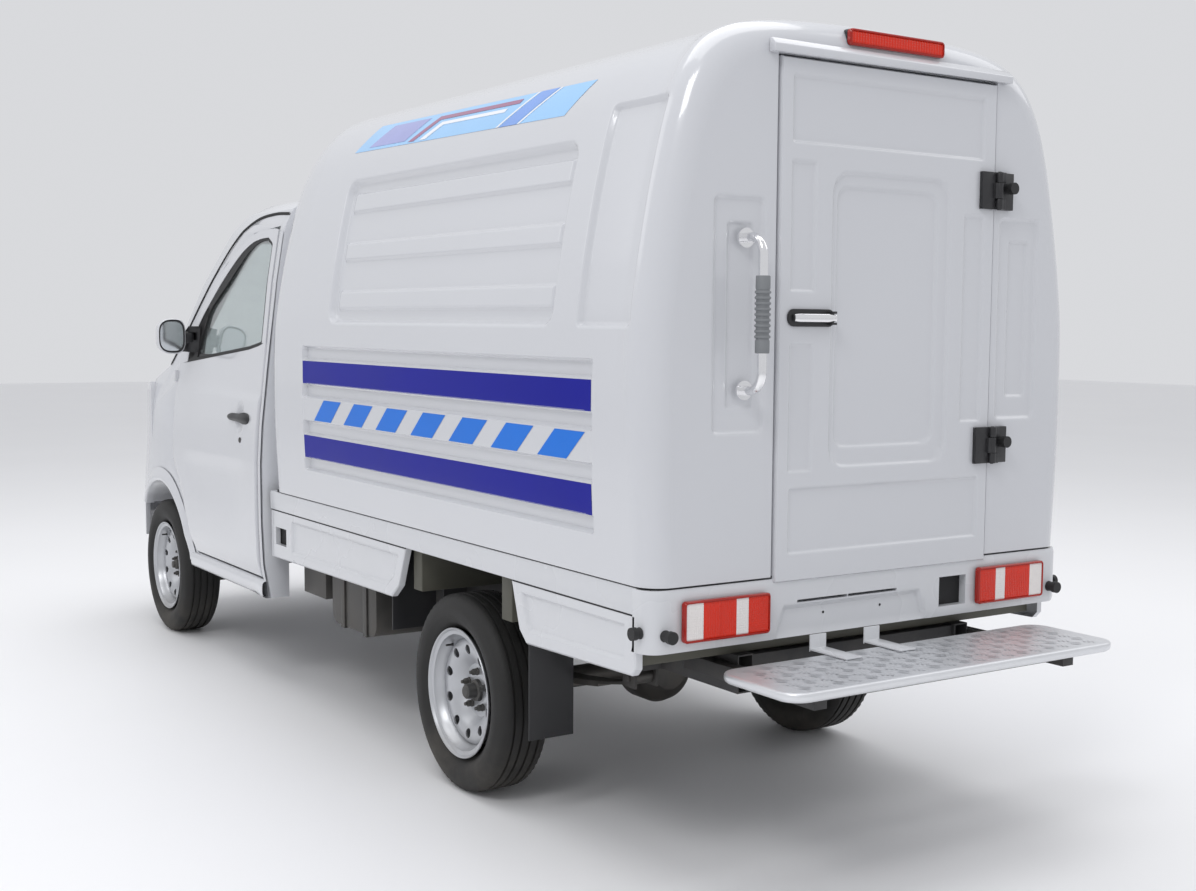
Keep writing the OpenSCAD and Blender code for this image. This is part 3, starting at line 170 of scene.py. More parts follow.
def varied(name, colour, rough, spread=0.06, scale=9.0, grain=None, dust=None, **constants):
    """A finish whose colour and roughness drift a little; grain is (scale, strength, depth) of its bump,
    dust is (colour, height) of the road dirt that fades out above that height."""
    f = Finish(name, **constants)
    drift = f.noise(scale)
    darker = tuple(c * (1 - spread) for c in colour)
    lighter = tuple(min(1, c * (1 + spread)) for c in colour)
    base = mix(drift, darker, lighter)
    dull = drift * 0.16 + (rough - 0.08)
    if dust:
        tint, height = dust
        low = 1 - f.axes()[2].ramp(height * 0.25, height)
        dirty = (low * f.noise(6.0, 5.0, 0.65).ramp(0.35, 0.75) * 0.75).clamped()
        base = mix(dirty, base, tint)
        dull = dull + dirty * 0.3
    f.drive("Base Color", base)
    f.drive("Roughness", dull.clamped())
    if grain:
        f.bump(f.noise(grain[0], 2.0), grain[1], grain[2])
    return f.material


DUST = (0.30, 0.27, 0.23)
BODY_WHITE = (0.60, 0.61, 0.64)
FINISHES = {}


def finish(name, *look, **constants):
    FINISHES[name] = varied(name, *look, **constants)


finish("body_paint", BODY_WHITE, 0.20, 0.012, 2.0, (260, 0.04, 0.0006), Coat_Weight=0.9,
       Coat_Roughness=0.06, Specular_IOR_Level=0.5)
finish("deck_paint", (0.62, 0.63, 0.655), 0.28, 0.015, 3.0, (240, 0.05, 0.0006), Coat_Weight=0.5,
       Coat_Roughness=0.12)
finish("chassis_black", (0.022, 0.022, 0.024), 0.52, 0.3, 7.0, (120, 0.2, 0.001),
       (tuple(c * 0.5 for c in DUST), 0.7))
finish("dark_steel", (0.10, 0.098, 0.095), 0.48, 0.25, 12.0, (180, 0.15, 0.0008),
       (tuple(c * 0.6 for c in DUST), 0.6), Metallic=0.85)
finish("cast_alloy", (0.34, 0.34, 0.35), 0.45, 0.1, 16.0, (220, 0.3, 0.0006), Metallic=0.9)
finish("wheel_silver", (0.50, 0.51, 0.53), 0.34, 0.04, 14.0, (300, 0.06, 0.0004), (DUST, 0.20),
       Metallic=0.75)
finish("tread_rubber", (0.012, 0.0115, 0.011), 0.66, 0.25, 20.0, (160, 0.25, 0.0008),
       (tuple(c * 0.35 for c in DUST), 0.22))
finish("soft_rubber", (0.016, 0.016, 0.017), 0.6, 0.2, 30.0, (400, 0.2, 0.0004))
finish("grip_rubber", (0.20, 0.21, 0.22), 0.58, 0.06, 30.0, (500, 0.15, 0.0003))
finish("black_plastic", (0.018, 0.018, 0.020), 0.42, 0.15, 25.0, (600, 0.25, 0.0003))
finish("grey_plastic", (0.17, 0.17, 0.18), 0.55, 0.08, 22.0, (500, 0.3, 0.0004))
finish("bright_chrome", (0.86, 0.86, 0.87), 0.12, 0.02, 40.0, Metallic=1.0)
finish("polished_alloy", (0.74, 0.75, 0.77), 0.42, 0.05, 8.0, (500, 0.12, 0.0003), Metallic=0.75)
finish("primer_olive", (0.085, 0.083, 0.065), 0.6, 0.15, 6.0, (120, 0.2, 0.0008))
# near-black for real seams and joints, and painted shade behind holes, slots and the grille
finish("seam_and_shade_dark", (0.012, 0.012, 0.013), 0.7, 0.1, 30.0)
finish("stripe_blue", (0.001, 0.003, 0.27), 0.32, 0.10, 3.0, Specular_IOR_Level=0.12,
       Coat_Weight=0.05, Coat_Roughness=0.1)
finish("hash_blue", (0.012, 0.17, 0.68), 0.32, 0.08, 5.0, Specular_IOR_Level=0.15, Coat_Weight=0.05,
       Coat_Roughness=0.1)
finish("film_sky", (0.30, 0.58, 0.92), 0.25, 0.06, 6.0, Coat_Weight=0.8)
finish("film_steel", (0.16, 0.33, 0.78), 0.25, 0.10, 6.0, Coat_Weight=0.8)
finish("film_lilac", (0.30, 0.33, 0.66), 0.25, 0.25, 4.0, Coat_Weight=0.8)
finish("film_white", (0.86, 0.88, 0.93), 0.25, 0.02, 6.0, Coat_Weight=0.8)
finish("film_maroon", (0.32, 0.10, 0.22), 0.25, 0.1, 6.0, Coat_Weight=0.8)
finish("seat_cloth", (0.075, 0.078, 0.085), 0.85, 0.25, 320.0, (900, 0.5, 0.0008), Sheen_Weight=0.3)
finish("window_glass", (0.80, 0.86, 0.86), 0.05, 0.01, 4.0, Transmission_Weight=0.92, IOR=1.45,
       Coat_Weight=0.3)
finish("mirror_glass", (0.75, 0.78, 0.80), 0.10, 0.02, 4.0, Metallic=1.0)
finish("lens_red", (0.66, 0.022, 0.004), 0.2, 0.10, 30.0, Specular_IOR_Level=0.25, Coat_Weight=0.35,
       Coat_Roughness=0.05)
finish("lens_dark_red", (0.34, 0.010, 0.004), 0.2, 0.10, 30.0, Specular_IOR_Level=0.25,
       Coat_Weight=0.35, Coat_Roughness=0.03)
finish("lens_clear", (0.80, 0.76, 0.74), 0.14, 0.05, 40.0, Coat_Weight=1.0, Coat_Roughness=0.03)
finish("lens_amber", (0.85, 0.30, 0.03), 0.16, 0.06, 40.0, Coat_Weight=1.0, Coat_Roughness=0.03)
finish("lamp_glass", (0.90, 0.92, 0.94), 0.06, 0.01, 8.0, Transmission_Weight=0.85, IOR=1.4)


# ------------------------------------------------------------------ making pieces
def put(name, bm, finishes, body, replaced=(), crease=0.6):
    """Turns a bmesh into a piece that rides on a body and stands for the replaced CAD nodes."""
    mesh = bpy.data.meshes.new(name)
    bm.to_mesh(mesh)
    bm.free()
    for finish in finishes:
        mesh.materials.append(FINISHES[finish])
    piece = bpy.data.objects.new(name, mesh)
    bpy.context.scene.collection.objects.link(piece)
    mesh.shade_smooth()
    mesh.set_sharp_from_angle(angle=crease)
    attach(piece, body)
    if replaced:
        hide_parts(*replaced)
    return piece


def modify(piece, kind, **settings):
    modifier = piece.modifiers.new(kind.lower(), kind)
    for key, value in settings.items():
        setattr(modifier, key, value)
    return modifier


def merged_copy(node):
    """The CAD node's shape with its loose triangles joined into whole faces."""
    bm = bmesh.new()
    bm.from_mesh(NODES[node].data)
    bmesh.ops.remove_doubles(bm, verts=bm.verts, dist=2e-5)
    bmesh.ops.dissolve_limit(bm, angle_limit=0.004, verts=bm.verts, edges=bm.edges)
    return bm


NOSE_START, NOSE_END = -2.930, -3.535    # the nose rounds off between these, from the rear axle
NOSE_HALF = 0.737


def ramped(value, low, high):
    t = min(1, max(0, (value - low) / (high - low)))
    return t * t * (3 - 2 * t)


def nose(point):
    """A place on the square-cut nose, moved to where it lies on the rounded one."""
    t = min(1, (NOSE_START - (point.y - AXLE)) / (NOSE_START - NOSE_END))
    if t <= 0:
        return point
    height = ramped(point.z, 0.58, 0.95)
    taper = (0.20 + 0.16 * height) * (1 - math.sqrt(1 - (0.96 * t) ** 2))
    x = point.x * (NOSE_HALF - taper) / NOSE_HALF
    back = t * t * (0.10 * ramped(point.z, 0.66, 1.02) + 0.055 * (x / 0.55) ** 2)
    return Vector((x, point.y + back, point.z))


def cut_grid(bm, axis, places):
    """Cuts flat faces along planes square to an axis."""
    normal = Vector([1.0 if i == axis else 0.0 for i in range(3)])
    for place in places:
        bmesh.ops.bisect_plane(bm, geom=bm.verts[:] + bm.edges[:] + bm.faces[:], dist=1e-6,
                               plane_co=normal * place, plane_no=normal)


def round_nose(bm):
    """Bends whatever lies in the truck's nose to its rounded shape."""
    front, back = AXLE + NOSE_END, AXLE + NOSE_START
    cut_grid(bm, 1, np.arange(front + 0.04, back + 0.03, 0.04))
    for axis, places in ((0, np.arange(-0.70, 0.71, 0.07)), (2, np.arange(0.42, 1.12, 0.06))):
        normal = Vector([1.0 if i == axis else 0.0 for i in range(3)])
        for place in places:
            geom = {g for f in bm.faces if f.calc_center_median().y < back
                    for g in [f, *f.edges, *f.verts]}
            bmesh.ops.bisect_plane(bm, geom=list(geom), dist=1e-6, plane_co=normal * place,
                                   plane_no=normal)
    for v in bm.verts:
        v.co = nose(v.co)
    return bm


def eased(node, finish, width=0.0025, segments=2, crease=0.65, keep=None, name=None, shape=None):
    """A copy of a CAD node with its hard edges rounded; keep picks the faces that stay."""
    bm = merged_copy(node)
    if keep:
        lost = [f for f in bm.faces if not keep(f.calc_center_median())]
        bmesh.ops.delete(bm, geom=lost, context="FACES")
    sharp = [e for e in bm.edges if len(e.link_faces) == 2 and e.calc_face_angle(0) > 0.55]
    bmesh.ops.bevel(bm, geom=sharp, offset=width, offset_type="OFFSET", segments=segments,
                    profile=0.5,
                    affect="EDGES", clamp_overlap=True, material=-1)
    if shape:
        shape(bm)
    return put(name or node + "_eased", bm, [finish], BODY_OF[node], [node], crease)


def ticks(low, high, step, edges=(), fine=0.003, reach=0.009):
    """Places from low to high about step apart, with close ones round each edge."""
    places = list(np.linspace(low, high, max(2, round((high - low) / step) + 1)))
    count = round(reach / fine)
    for edge in edges:
        places += [edge + k * fine for k in range(-count, count + 1)]
    kept = [low]
    for place in sorted(places):
        if kept[-1] + fine * 0.6 < place < high - fine * 0.6:
            kept.append(place)
    return kept + [high]


def draped(us, vs, place):
    """A grid of faces whose points are put by place(u, v)."""
    bm = bmesh.new()
    bmesh.ops.create_grid(bm, x_segments=len(us) - 1, y_segments=len(vs) - 1, size=1)
    columns, rows = len(us) - 1, len(vs) - 1
    for v in bm.verts:
        column = round((v.co.x + 1) / 2 * columns)
        row = round((v.co.y + 1) / 2 * rows)
        v.co = place(us[column], vs[row])
    return bm


def facing(bm, outward):
    """Turns every face so that it looks along outward(centre)."""
    bm.normal_update()
    wrong = [f for f in bm.faces if f.normal.dot(outward(f.calc_center_median())) < 0]
    bmesh.ops.reverse_faces(bm, faces=wrong)


def rimmed(bm, back, outward):
    """Turns a sheet's rim in: back(place) is how far each rim point's copy moves."""
    made = bmesh.ops.extrude_edge_only(bm, edges=[e for e in bm.edges if e.is_boundary])["geom"]
    for v in [g for g in made if isinstance(g, bmesh.types.BMVert)]:
        v.co += back(v.co)
    bmesh.ops.recalc_face_normals(bm, faces=bm.faces)
    bm.normal_update()
    if sum(f.normal.dot(outward(f.calc_center_median())) * f.calc_area() for f in bm.faces) < 0:
        bmesh.ops.reverse_faces(bm, faces=bm.faces)


def joined(*sheets):
    """Several bmeshes in one."""
    whole = bmesh.new()
    for bm in sheets:
        mesh = bpy.data.meshes.new("part")
        bm.to_mesh(mesh)
        bm.free()
        whole.from_mesh(mesh)
        bpy.data.meshes.remove(mesh)
    return whole


def rounded_box(low, high, radius, segments=3):
    """A box between two corners with rounded edges."""
    bm = bmesh.new()
    bmesh.ops.create_cube(bm, size=1)
    low, high = Vector(low), Vector(high)
    for v in bm.verts:
        v.co = Vector([low[i] + (v.co[i] + 0.5) * (high[i] - low[i]) for i in range(3)])
    if radius:
        bmesh.ops.bevel(bm, geom=bm.edges[:], offset=radius, offset_type="OFFSET",
                        segments=segments, profile=0.5,
                        affect="EDGES", clamp_overlap=True, material=-1)
    return bm


def turned(profile, axis, centre, steps=64):
    """A closed outline of (radius, place along the axis) spun round a line through centre."""
    bm = bmesh.new()
    ring = [bm.verts.new((r, 0, along)) for r, along in profile]
    edges = [bm.edges.new((ring[i], ring[(i + 1) % len(ring)])) for i in range(len(ring))]
    bmesh.ops.spin(bm, geom=ring + edges, cent=(0, 0, 0), axis=(0, 0, 1), dvec=(0, 0, 0),
                   angle=2 * math.pi,
                   steps=steps, use_merge=True, use_duplicate=False)
    bmesh.ops.remove_doubles(bm, verts=bm.verts, dist=1e-6)
    bmesh.ops.recalc_face_normals(bm, faces=bm.faces)
    turn = Vector((0, 0, 1)).rotation_difference(Vector(axis)).to_matrix().to_4x4()
    bmesh.ops.transform(bm, matrix=Matrix.Translation(centre) @ turn, verts=bm.verts)
    return bm


def plateau(u, v, u0, u1, v0, v1, radius, ramp):
    """1 inside a rounded rectangle and 0 outside it, with a soft slope inside its edge."""
    du = abs(u - (u0 + u1) / 2) - (u1 - u0) / 2 + radius
    dv = abs(v - (v0 + v1) / 2) - (v1 - v0) / 2 + radius
    outside = math.hypot(max(du, 0), max(dv, 0)) + min(max(du, dv), 0) - radius
    t = min(1, max(0, -outside / ramp))
    return t * t * (3 - 2 * t)


def smooth_line(points, steps=8):
    """A soft curve through the points."""
    p = [Vector(q) for q in points]
    p = [2 * p[0] - p[1]] + p + [2 * p[-1] - p[-2]]
    line = []
    for a, b, c, d in zip(p, p[1:], p[2:], p[3:]):
        for k in range(steps):
            t = k / steps
            line.append(0.5 * (2 * b + (c - a) * t + (2 * a - 5 * b + 4 * c - d) * t * t
                               + (3 * b - a - 3 * c + d) * t ** 3))
    return line + [p[-2]]


# ------------------------------------------------------------------ sizes from the frame
AXLE = sum(corner.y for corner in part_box("tyre_rear_left")) / 2
BODY_LOW, BODY_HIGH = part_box("cargo_body")
HALF = BODY_HIGH.x
FLOOR = BODY_LOW.z
CROWN = BODY_HIGH.z
FRONT = BODY_LOW.y
REAR = BODY_HIGH.y
CORNER = 0.070
FRONT_CORNER = 0.130
FRONT_ROLL = 0.340
RIM = 0.004
DOOR_LOW, DOOR_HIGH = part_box("rear_door_panel")

# half of the body's cross-section, from its foot to the roof's crown
HALF_SECTION = [
    (HALF - 0.014, FLOOR), (HALF - 0.003, FLOOR + 0.26), (HALF, FLOOR + 0.47),
                (HALF - 0.003, FLOOR + 0.64),
    (HALF - 0.017, FLOOR + 0.76), (HALF - 0.037, FLOOR + 0.88), (HALF - 0.063, CROWN - 0.398),
    (HALF - 0.096, CROWN - 0.268), (HALF - 0.130, CROWN - 0.180), (HALF - 0.178, CROWN - 0.106),
    (HALF - 0.240, CROWN - 0.058), (HALF - 0.330, CROWN - 0.028), (HALF - 0.480, CROWN - 0.010),
                (0, CROWN - 0.002)]
line = smooth_line(HALF_SECTION + [(-(HALF - 0.480), CROWN - 0.010)])[:-8]
SECTION_X = np.array([q[0] for q in line])
SECTION_Z = np.array([q[1] for q in line])
SECTION_U = np.concatenate([[0], np.cumsum(np.hypot(np.diff(SECTION_X), np.diff(SECTION_Z)))])
GIRTH = SECTION_U[-1]


def u_at(z):
    """How far up the section a height on the side is."""
    return float(np.interp(z, SECTION_Z, SECTION_U))


# raised or sunk shapes on a side: (rear, front) along y from the rear axle, heights, radius, slope, depth
WAIST = (-1.138, 0.806, 0.872, 1.312)
BANDS = [(1.180, 1.259), (1.050, 1.130), (0.919, 0.998)]
WINDOW = (-0.905, 0.604, 1.388, 1.875)
RIBS = [(1.762, 1.832), (1.600, 1.665), (1.436, 1.504)]
NARROW = (0.722, 0.974, 1.388, 1.953)
WAIST_DEPTH, BAND_RISE = 0.018, 0.0165
WINDOW_DEPTH, RIB_RISE = 0.020, 0.0085
NARROW_DEPTH = 0.014


def side_relief(y, z):
    """How far the side stands out at a place, y from the rear axle."""
    if z > 2.0 or y < -1.2 or y > 1.0:
        return 0.0
    sunk = plateau(y, z, *WAIST, 0.010, 0.010)
    depth = -WAIST_DEPTH * sunk
    if sunk:
        past_ends = (WAIST[0] - 0.1, WAIST[1] + 0.1)
        depth += BAND_RISE * sunk * max(plateau(y, z, *past_ends, low - 0.006, high + 0.008, 0.004,
                                                0.007)
                                        for low, high in BANDS)
    depth -= WINDOW_DEPTH * plateau(y, z, *WINDOW, 0.055, 0.020)
    depth += RIB_RISE * max(plateau(y, z, WINDOW[0] + 0.05, WINDOW[1] - 0.028, low, high, 0.005,
                                    0.009)
                            for low, high in RIBS)
    depth -= NARROW_DEPTH * plateau(y, z, *NARROW, 0.016, 0.014)
    return depth


def quarter(along, radius):
    """How far a rounded end draws in at a distance from it."""
    if along >= radius:
        return 0.0
    return radius - math.sqrt(max(0.0, radius ** 2 - (radius - along) ** 2))


def body_point(u, y, lift=0.0, inset=0.0):
    """A point on the moulded body: u runs up the left side, over the roof and down the right."""
    up = min(u, 2 * GIRTH - u)
    x = float(np.interp(up, SECTION_U, SECTION_X))
    z = float(np.interp(up, SECTION_U, SECTION_Z))
    ahead = float(np.interp(up + 0.01, SECTION_U,
                            SECTION_X)), float(np.interp(up + 0.01, SECTION_U, SECTION_Z))
    behind = float(np.interp(up - 0.01, SECTION_U,
                             SECTION_X)), float(np.interp(up - 0.01, SECTION_U, SECTION_Z))
    out = Vector((ahead[1] - behind[1], 0, behind[0] - ahead[0])).normalized()
    rise = side_relief(y - AXLE, z) + lift - inset
    rise -= RIM * (1 - min(1,
                           max(0, (y - REAR + 0.105) / 0.016))) * min(1, max(0, (up - 0.3) / 0.4))
    x += out.x * rise
    z += out.z * rise
    full = CROWN - FLOOR
    side_in = quarter(y - FRONT, FRONT_CORNER) + quarter(REAR - y, CORNER)
    top_in = quarter(y - FRONT, FRONT_ROLL) + quarter(REAR - y, CORNER)
    x *= (HALF - side_in) / HALF
    z = FLOOR + (z - FLOOR) * (full - top_in) / full
    return Vector((x if u <= GIRTH else -x, y, z))


# ------------------------------------------------------------------ moulded cargo body
heights = [WAIST[2], WAIST[3], WINDOW[2], WINDOW[3], NARROW[3]]
for low, high in BANDS:
    heights += [low - 0.003, high + 0.005]
for low, high in RIBS:
    heights += [low, high]
FOOT = 0.0035
side_us = ticks(FOOT, u_at(1.99), 0.020, [u_at(z) for z in heights], 0.0045, 0.018)
half_us = side_us + list(np.linspace(u_at(1.99), GIRTH, 26))[1:]
BODY_US = half_us + [2 * GIRTH - u for u in reversed(half_us[:-1])]
lengths = [AXLE + y
           for y in (WAIST[0], WAIST[1], WINDOW[0], WINDOW[1], NARROW[0], NARROW[1],
                     WINDOW[0] + 0.05,
                              WINDOW[1] - 0.028)]
middle = ticks(FRONT + FRONT_ROLL, REAR - CORNER, 0.034, lengths, 0.005, 0.020)
roll = [FRONT + FRONT_ROLL * (1 - math.cos(math.radians(a))) for a in range(0, 90, 8)]
roll += [FRONT + FRONT_CORNER * (1 - math.cos(math.radians(a))) for a in range(10, 90, 12)]
turn_in = [REAR - CORNER * (1 - math.sin(math.radians(a))) for a in range(9, 91, 9)]
BODY_YS = sorted(roll) + middle + turn_in


def cargo_shell():
    bm = draped(BODY_US, BODY_YS, body_point)
    ends = [e for e in bm.edges if e.is_boundary
            and all(abs(v.co.y - FRONT) < 1e-5 for v in e.verts)]
    feet = [v for e in ends for v in e.verts if v.co.z < FLOOR + 2 * FOOT]
    ends.append(bm.edges.new(sorted(set(feet), key=lambda v: v.co.x)))
    bmesh.ops.contextual_create(bm, geom=ends)
    centre = Vector((0, 0, 1.4))
    facing(bm, lambda at: Vector((at.x, min(0, at.y - FRONT - 0.2) * 3, at.z - centre.z)))
    piece = put("cargo_shell", bm, ["body_paint"], BODY_OF["cargo_body"], ["cargo_body"], 0.9)
    return piece


SIDE_PANELS = [(0.386, 0.548, 1.128, 1.712), (-0.590, -0.430, 1.140, 1.702)]
OPENING = (DOOR_LOW.x - 0.004, DOOR_HIGH.x + 0.009, DOOR_HIGH.z + 0.004)


def wall_relief(x, z):
    depth = 0.0
    for x0, x1, z0, z1 in SIDE_PANELS:
        depth -= 0.008 * plateau(x, z, x0, x1, z0, z1, 0.020, 0.012)
        depth -= 0.006 * plateau(x, z, x0 + 0.032, x1 - 0.046, z0 + 0.062, z1 - 0.062, 0.012, 0.010)
    return depth


def rear_wall():
    """The flat rear of the body round the doorway, with the doorway's rebate."""
    bm = bmesh.new()
    bm.faces.new([bm.verts.new(body_point(u, REAR)) for u in BODY_US])
    xs, zs = [OPENING[0], OPENING[1], 0], [OPENING[2]]
    for x0, x1, z0, z1 in SIDE_PANELS:
        for x in (x0 + 0.006, x1 - 0.006, x0 + 0.037, x1 - 0.051):
            xs += [x + d for d in (-0.012, -0.008, -0.004, 0, 0.004, 0.008, 0.012)]
        for z in (z0 + 0.006, z1 - 0.006, z0 + 0.067, z1 - 0.067):
            zs += [z + d for d in (-0.012, -0.008, -0.004, 0, 0.004, 0.008, 0.012)]
    cut_grid(bm, 0, sorted(set(xs)))
    cut_grid(bm, 2, sorted(set(zs + list(np.arange(0.85, 2.05, 0.09)))))
    inside = [f for f in bm.faces if OPENING[0] < f.calc_center_median().x < OPENING[1]
              and f.calc_center_median().z < OPENING[2]]
    bmesh.ops.delete(bm, geom=inside, context="FACES")
    for v in bm.verts:
        v.co.y = REAR + wall_relief(v.co.x, v.co.z)

    def on_door(v):
        return (OPENING[0] - 1e-4 < v.co.x < OPENING[1] + 1e-4) and v.co.z < OPENING[2] + 1e-4

    edge = [e for e in bm.edges if e.is_boundary and all(on_door(v) for v in e.verts)
            and not all(v.co.z < FLOOR + 2 * FOOT for v in e.verts)]
    steps = [(0.0, -0.048), (0.028, 0.0), (0.0, -0.016)]
    for inward, back in steps:
        made = bmesh.ops.extrude_edge_only(bm, edges=edge)["geom"]
        edge = [g for g in made if isinstance(g, bmesh.types.BMEdge) and g.is_boundary]
        moved = {g for g in made if isinstance(g, bmesh.types.BMVert)}
        for v in moved:
            v.co.y += back
            if inward:
                v.co.x += inward if v.co.x < -0.1 else (-inward if v.co.x > 0.1 else 0)
                if v.co.z > 1.9:
                    v.co.z -= inward
        edge = [e for e in edge if all(v in moved for v in e.verts)]
    facing(bm, lambda at: Vector((-at.x * 0.3, 1, (1.4 - at.z) * 0.3)))
    return put("rear_wall", bm, ["body_paint"], BODY_OF["cargo_body"], ["cargo_body"], 0.6)


def body_lining():
    """The inner face of the moulding, seen when the door is open."""
    us = [u for i, u in enumerate(half_us) if i % 6 == 0] + [GIRTH]
    us = sorted(set(us)) + [2 * GIRTH - u for u in sorted(set(us), reverse=True)[1:]]
    ys = list(np.linspace(FRONT + 0.025, REAR - 0.065, 30))
    bm = draped(us, ys,
                lambda u, y: body_point(u, max(FRONT + 0.12, y) if y < FRONT + 0.12 else y, 0.0,
                                        0.025))
    facing(bm, lambda at: Vector((-at.x, 0, 1.3 - at.z)))
    return put("body_lining", bm, ["grey_plastic"], BODY_OF["cargo_body"], ["cargo_body"], 0.9)


PRESSINGS = [  # x, x, z, z, radius, depth
    (-0.363, 0.313, 1.846, 2.017, 0.012, 0.007), (0.229, 0.314, 1.480, 1.809, 0.008, 0.006),
    (0.232, 0.314, 1.026, 1.356, 0.008, 0.006), (-0.240, 0.180, 1.032, 1.790, 0.060, 0.007),
    (-0.198, 0.160, 1.082, 1.755, 0.040, 0.006), (-0.370, -0.287, 1.137, 1.703, 0.008, 0.006),
    (-0.368, 0.310, 0.817, 0.990, 0.010, 0.007)]


def rear_door():
    xs, zs = [], []
    for x0, x1, z0, z1, *_ in PRESSINGS:
        xs += [x0 + 0.005, x1 - 0.005]
        zs += [z0 + 0.005, z1 - 0.005]
    face = DOOR_HIGH.y

    def place(x, z):
        depth = sum(d * plateau(x, z, x0, x1, z0, z1, r, 0.010)
                    for x0, x1, z0, z1, r, d in PRESSINGS)
        edge = min(x - DOOR_LOW.x, DOOR_HIGH.x - x, z - 0.750, DOOR_HIGH.z - z)
        return Vector((x, face - depth - quarter(max(edge, 0), 0.005), z))

    low = DOOR_LOW.z
    bm = draped(ticks(DOOR_LOW.x, DOOR_HIGH.x, 0.02, xs + [DOOR_LOW.x, DOOR_HIGH.x], 0.0035, 0.014),
                ticks(low, DOOR_HIGH.z, 0.03, zs + [low, DOOR_HIGH.z], 0.0035, 0.014), place)
    facing(bm, lambda at: Vector((0, 1, 0)))
    rim = [e for e in bm.edges if e.is_boundary]
    made = bmesh.ops.extrude_edge_only(bm, edges=rim)["geom"]
    for v in [g for g in made if isinstance(g, bmesh.types.BMVert)]:
        v.co.y = DOOR_LOW.y
    back = [e for e in bm.edges if e.is_boundary]
    bmesh.ops.contextual_create(bm, geom=back)
    bmesh.ops.recalc_face_normals(bm, faces=bm.faces)
    put("rear_door_skin", bm, ["body_paint"], BODY_OF["rear_door_panel"], ["rear_door_panel"], 0.7)


def film(side, corners, steps=(24, 4), lift=0.0008):
    """A thin film on the body's side: corners are front low, rear low, rear high, front high (y, z)."""
    (y0, z0), (y1, z1), (y2, z2), (y3, z3) = corners

    def place(s, t):
        y = (1 - t) * ((1 - s) * y0 + s * y1) + t * ((1 - s) * y3 + s * y2)
        z = (1 - t) * ((1 - s) * z0 + s * z1) + t * ((1 - s) * z3 + s * z2)
        point = body_point(u_at(z), AXLE + y, lift)
        return Vector((point.x * side, point.y, point.z))

    bm = draped(list(np.linspace(0, 1, steps[0] + 1)), list(np.linspace(0, 1, steps[1] + 1)), place)
    facing(bm, lambda at: Vector((side, 0, 0.3)))
    return bm


def livery():
    """Stripes, slanted marks and the decal under the roof, on both sides."""
    hash_low, hash_high = BANDS[1]
    pitch, width, slant = 0.2605, 0.150, 0.092
    for side, word in ((1, "left"), (-1, "right")):
        stripes = [film(side,
                        [(WAIST[0] + 0.006, low), (WAIST[1] - 0.006, low), (WAIST[1] - 0.006, high),
                               (WAIST[0] + 0.006, high)], steps=(60, 5))
                   for low, high in (BANDS[0], BANDS[2])]
        put(f"waist_stripes_{word}", joined(*stripes), ["stripe_blue"], BODY_OF["cargo_body"], (),
            0.6)
        marks = []
        for k in range(7):
            y = -1.033 + k * pitch
            marks.append(film(side, [(y, hash_low + 0.003), (y + width, hash_low + 0.003),
                                             (y + width + slant, hash_high - 0.003),
                                     (y + slant, hash_high - 0.003)],
                              steps=(6, 5)))
        put(f"slanted_marks_{word}", joined(*marks), ["hash_blue"], BODY_OF["cargo_body"], (), 0.6)

        # decal: a slanted field in sky blue with lilac and steel panels and a bent maroon line over it
        def at(s, t):
            """A place on the decal, s from its front to its rear and t from its foot to its head."""
            return (-0.941 + 1.416 * s + (0.120 - 0.043 * s) * t + 0.02 * s * t,
                    1.972 - 0.024 * s + (0.084 + 0.004 * s) * t)

        def patch(s0, s1, t0=0.0, t1=1.0, lean=0.0):
            return [at(s0, t0), at(s1, t0), at(s1 + lean, t1), at(s0 + lean, t1)]

        field = film(side, patch(0, 1), steps=(60, 6), lift=0.0008)
        put(f"decal_field_{word}", field, ["film_sky"], BODY_OF["cargo_body"], (), 0.6)
        put(f"decal_lilac_{word}",
            film(side, patch(0.07, 0.27, 0.12, 0.88, 0.03), steps=(20, 5), lift=0.0014),
            ["film_lilac"], BODY_OF["cargo_body"], (), 0.6)
        steel = joined(film(side, patch(0.74, 0.81, 0.0, 1.0, 0.05), steps=(8, 5), lift=0.0014))
        put(f"decal_steel_{word}", steel, ["film_steel"], BODY_OF["cargo_body"], (), 0.6)
        white = joined(film(side, patch(0.725, 0.735, 0.0, 1.0, 0.05), steps=(3, 5), lift=0.0015),
                       film(side, patch(0.815, 0.825, 0.0, 1.0, 0.05), steps=(3, 5), lift=0.0015),
                       film(side, patch(0.355, 0.385, 0.06, 0.62, 0.04), steps=(3, 5), lift=0.0015),
                       film(side, patch(0.395, 0.70, 0.50, 0.62, 0.0), steps=(20, 2), lift=0.0015))
        put(f"decal_white_{word}", white, ["film_white"], BODY_OF["cargo_body"], (), 0.6)
        maroon = joined(film(side, patch(0.295, 0.325, 0.06, 0.84, 0.055), steps=(4, 5),
                             lift=0.0016),
                        film(side, patch(0.350, 0.735, 0.72, 0.86, 0.0), steps=(24, 2),
                             lift=0.0016))
        put(f"decal_maroon_{word}", maroon, ["film_maroon"], BODY_OF["cargo_body"], (), 0.6)


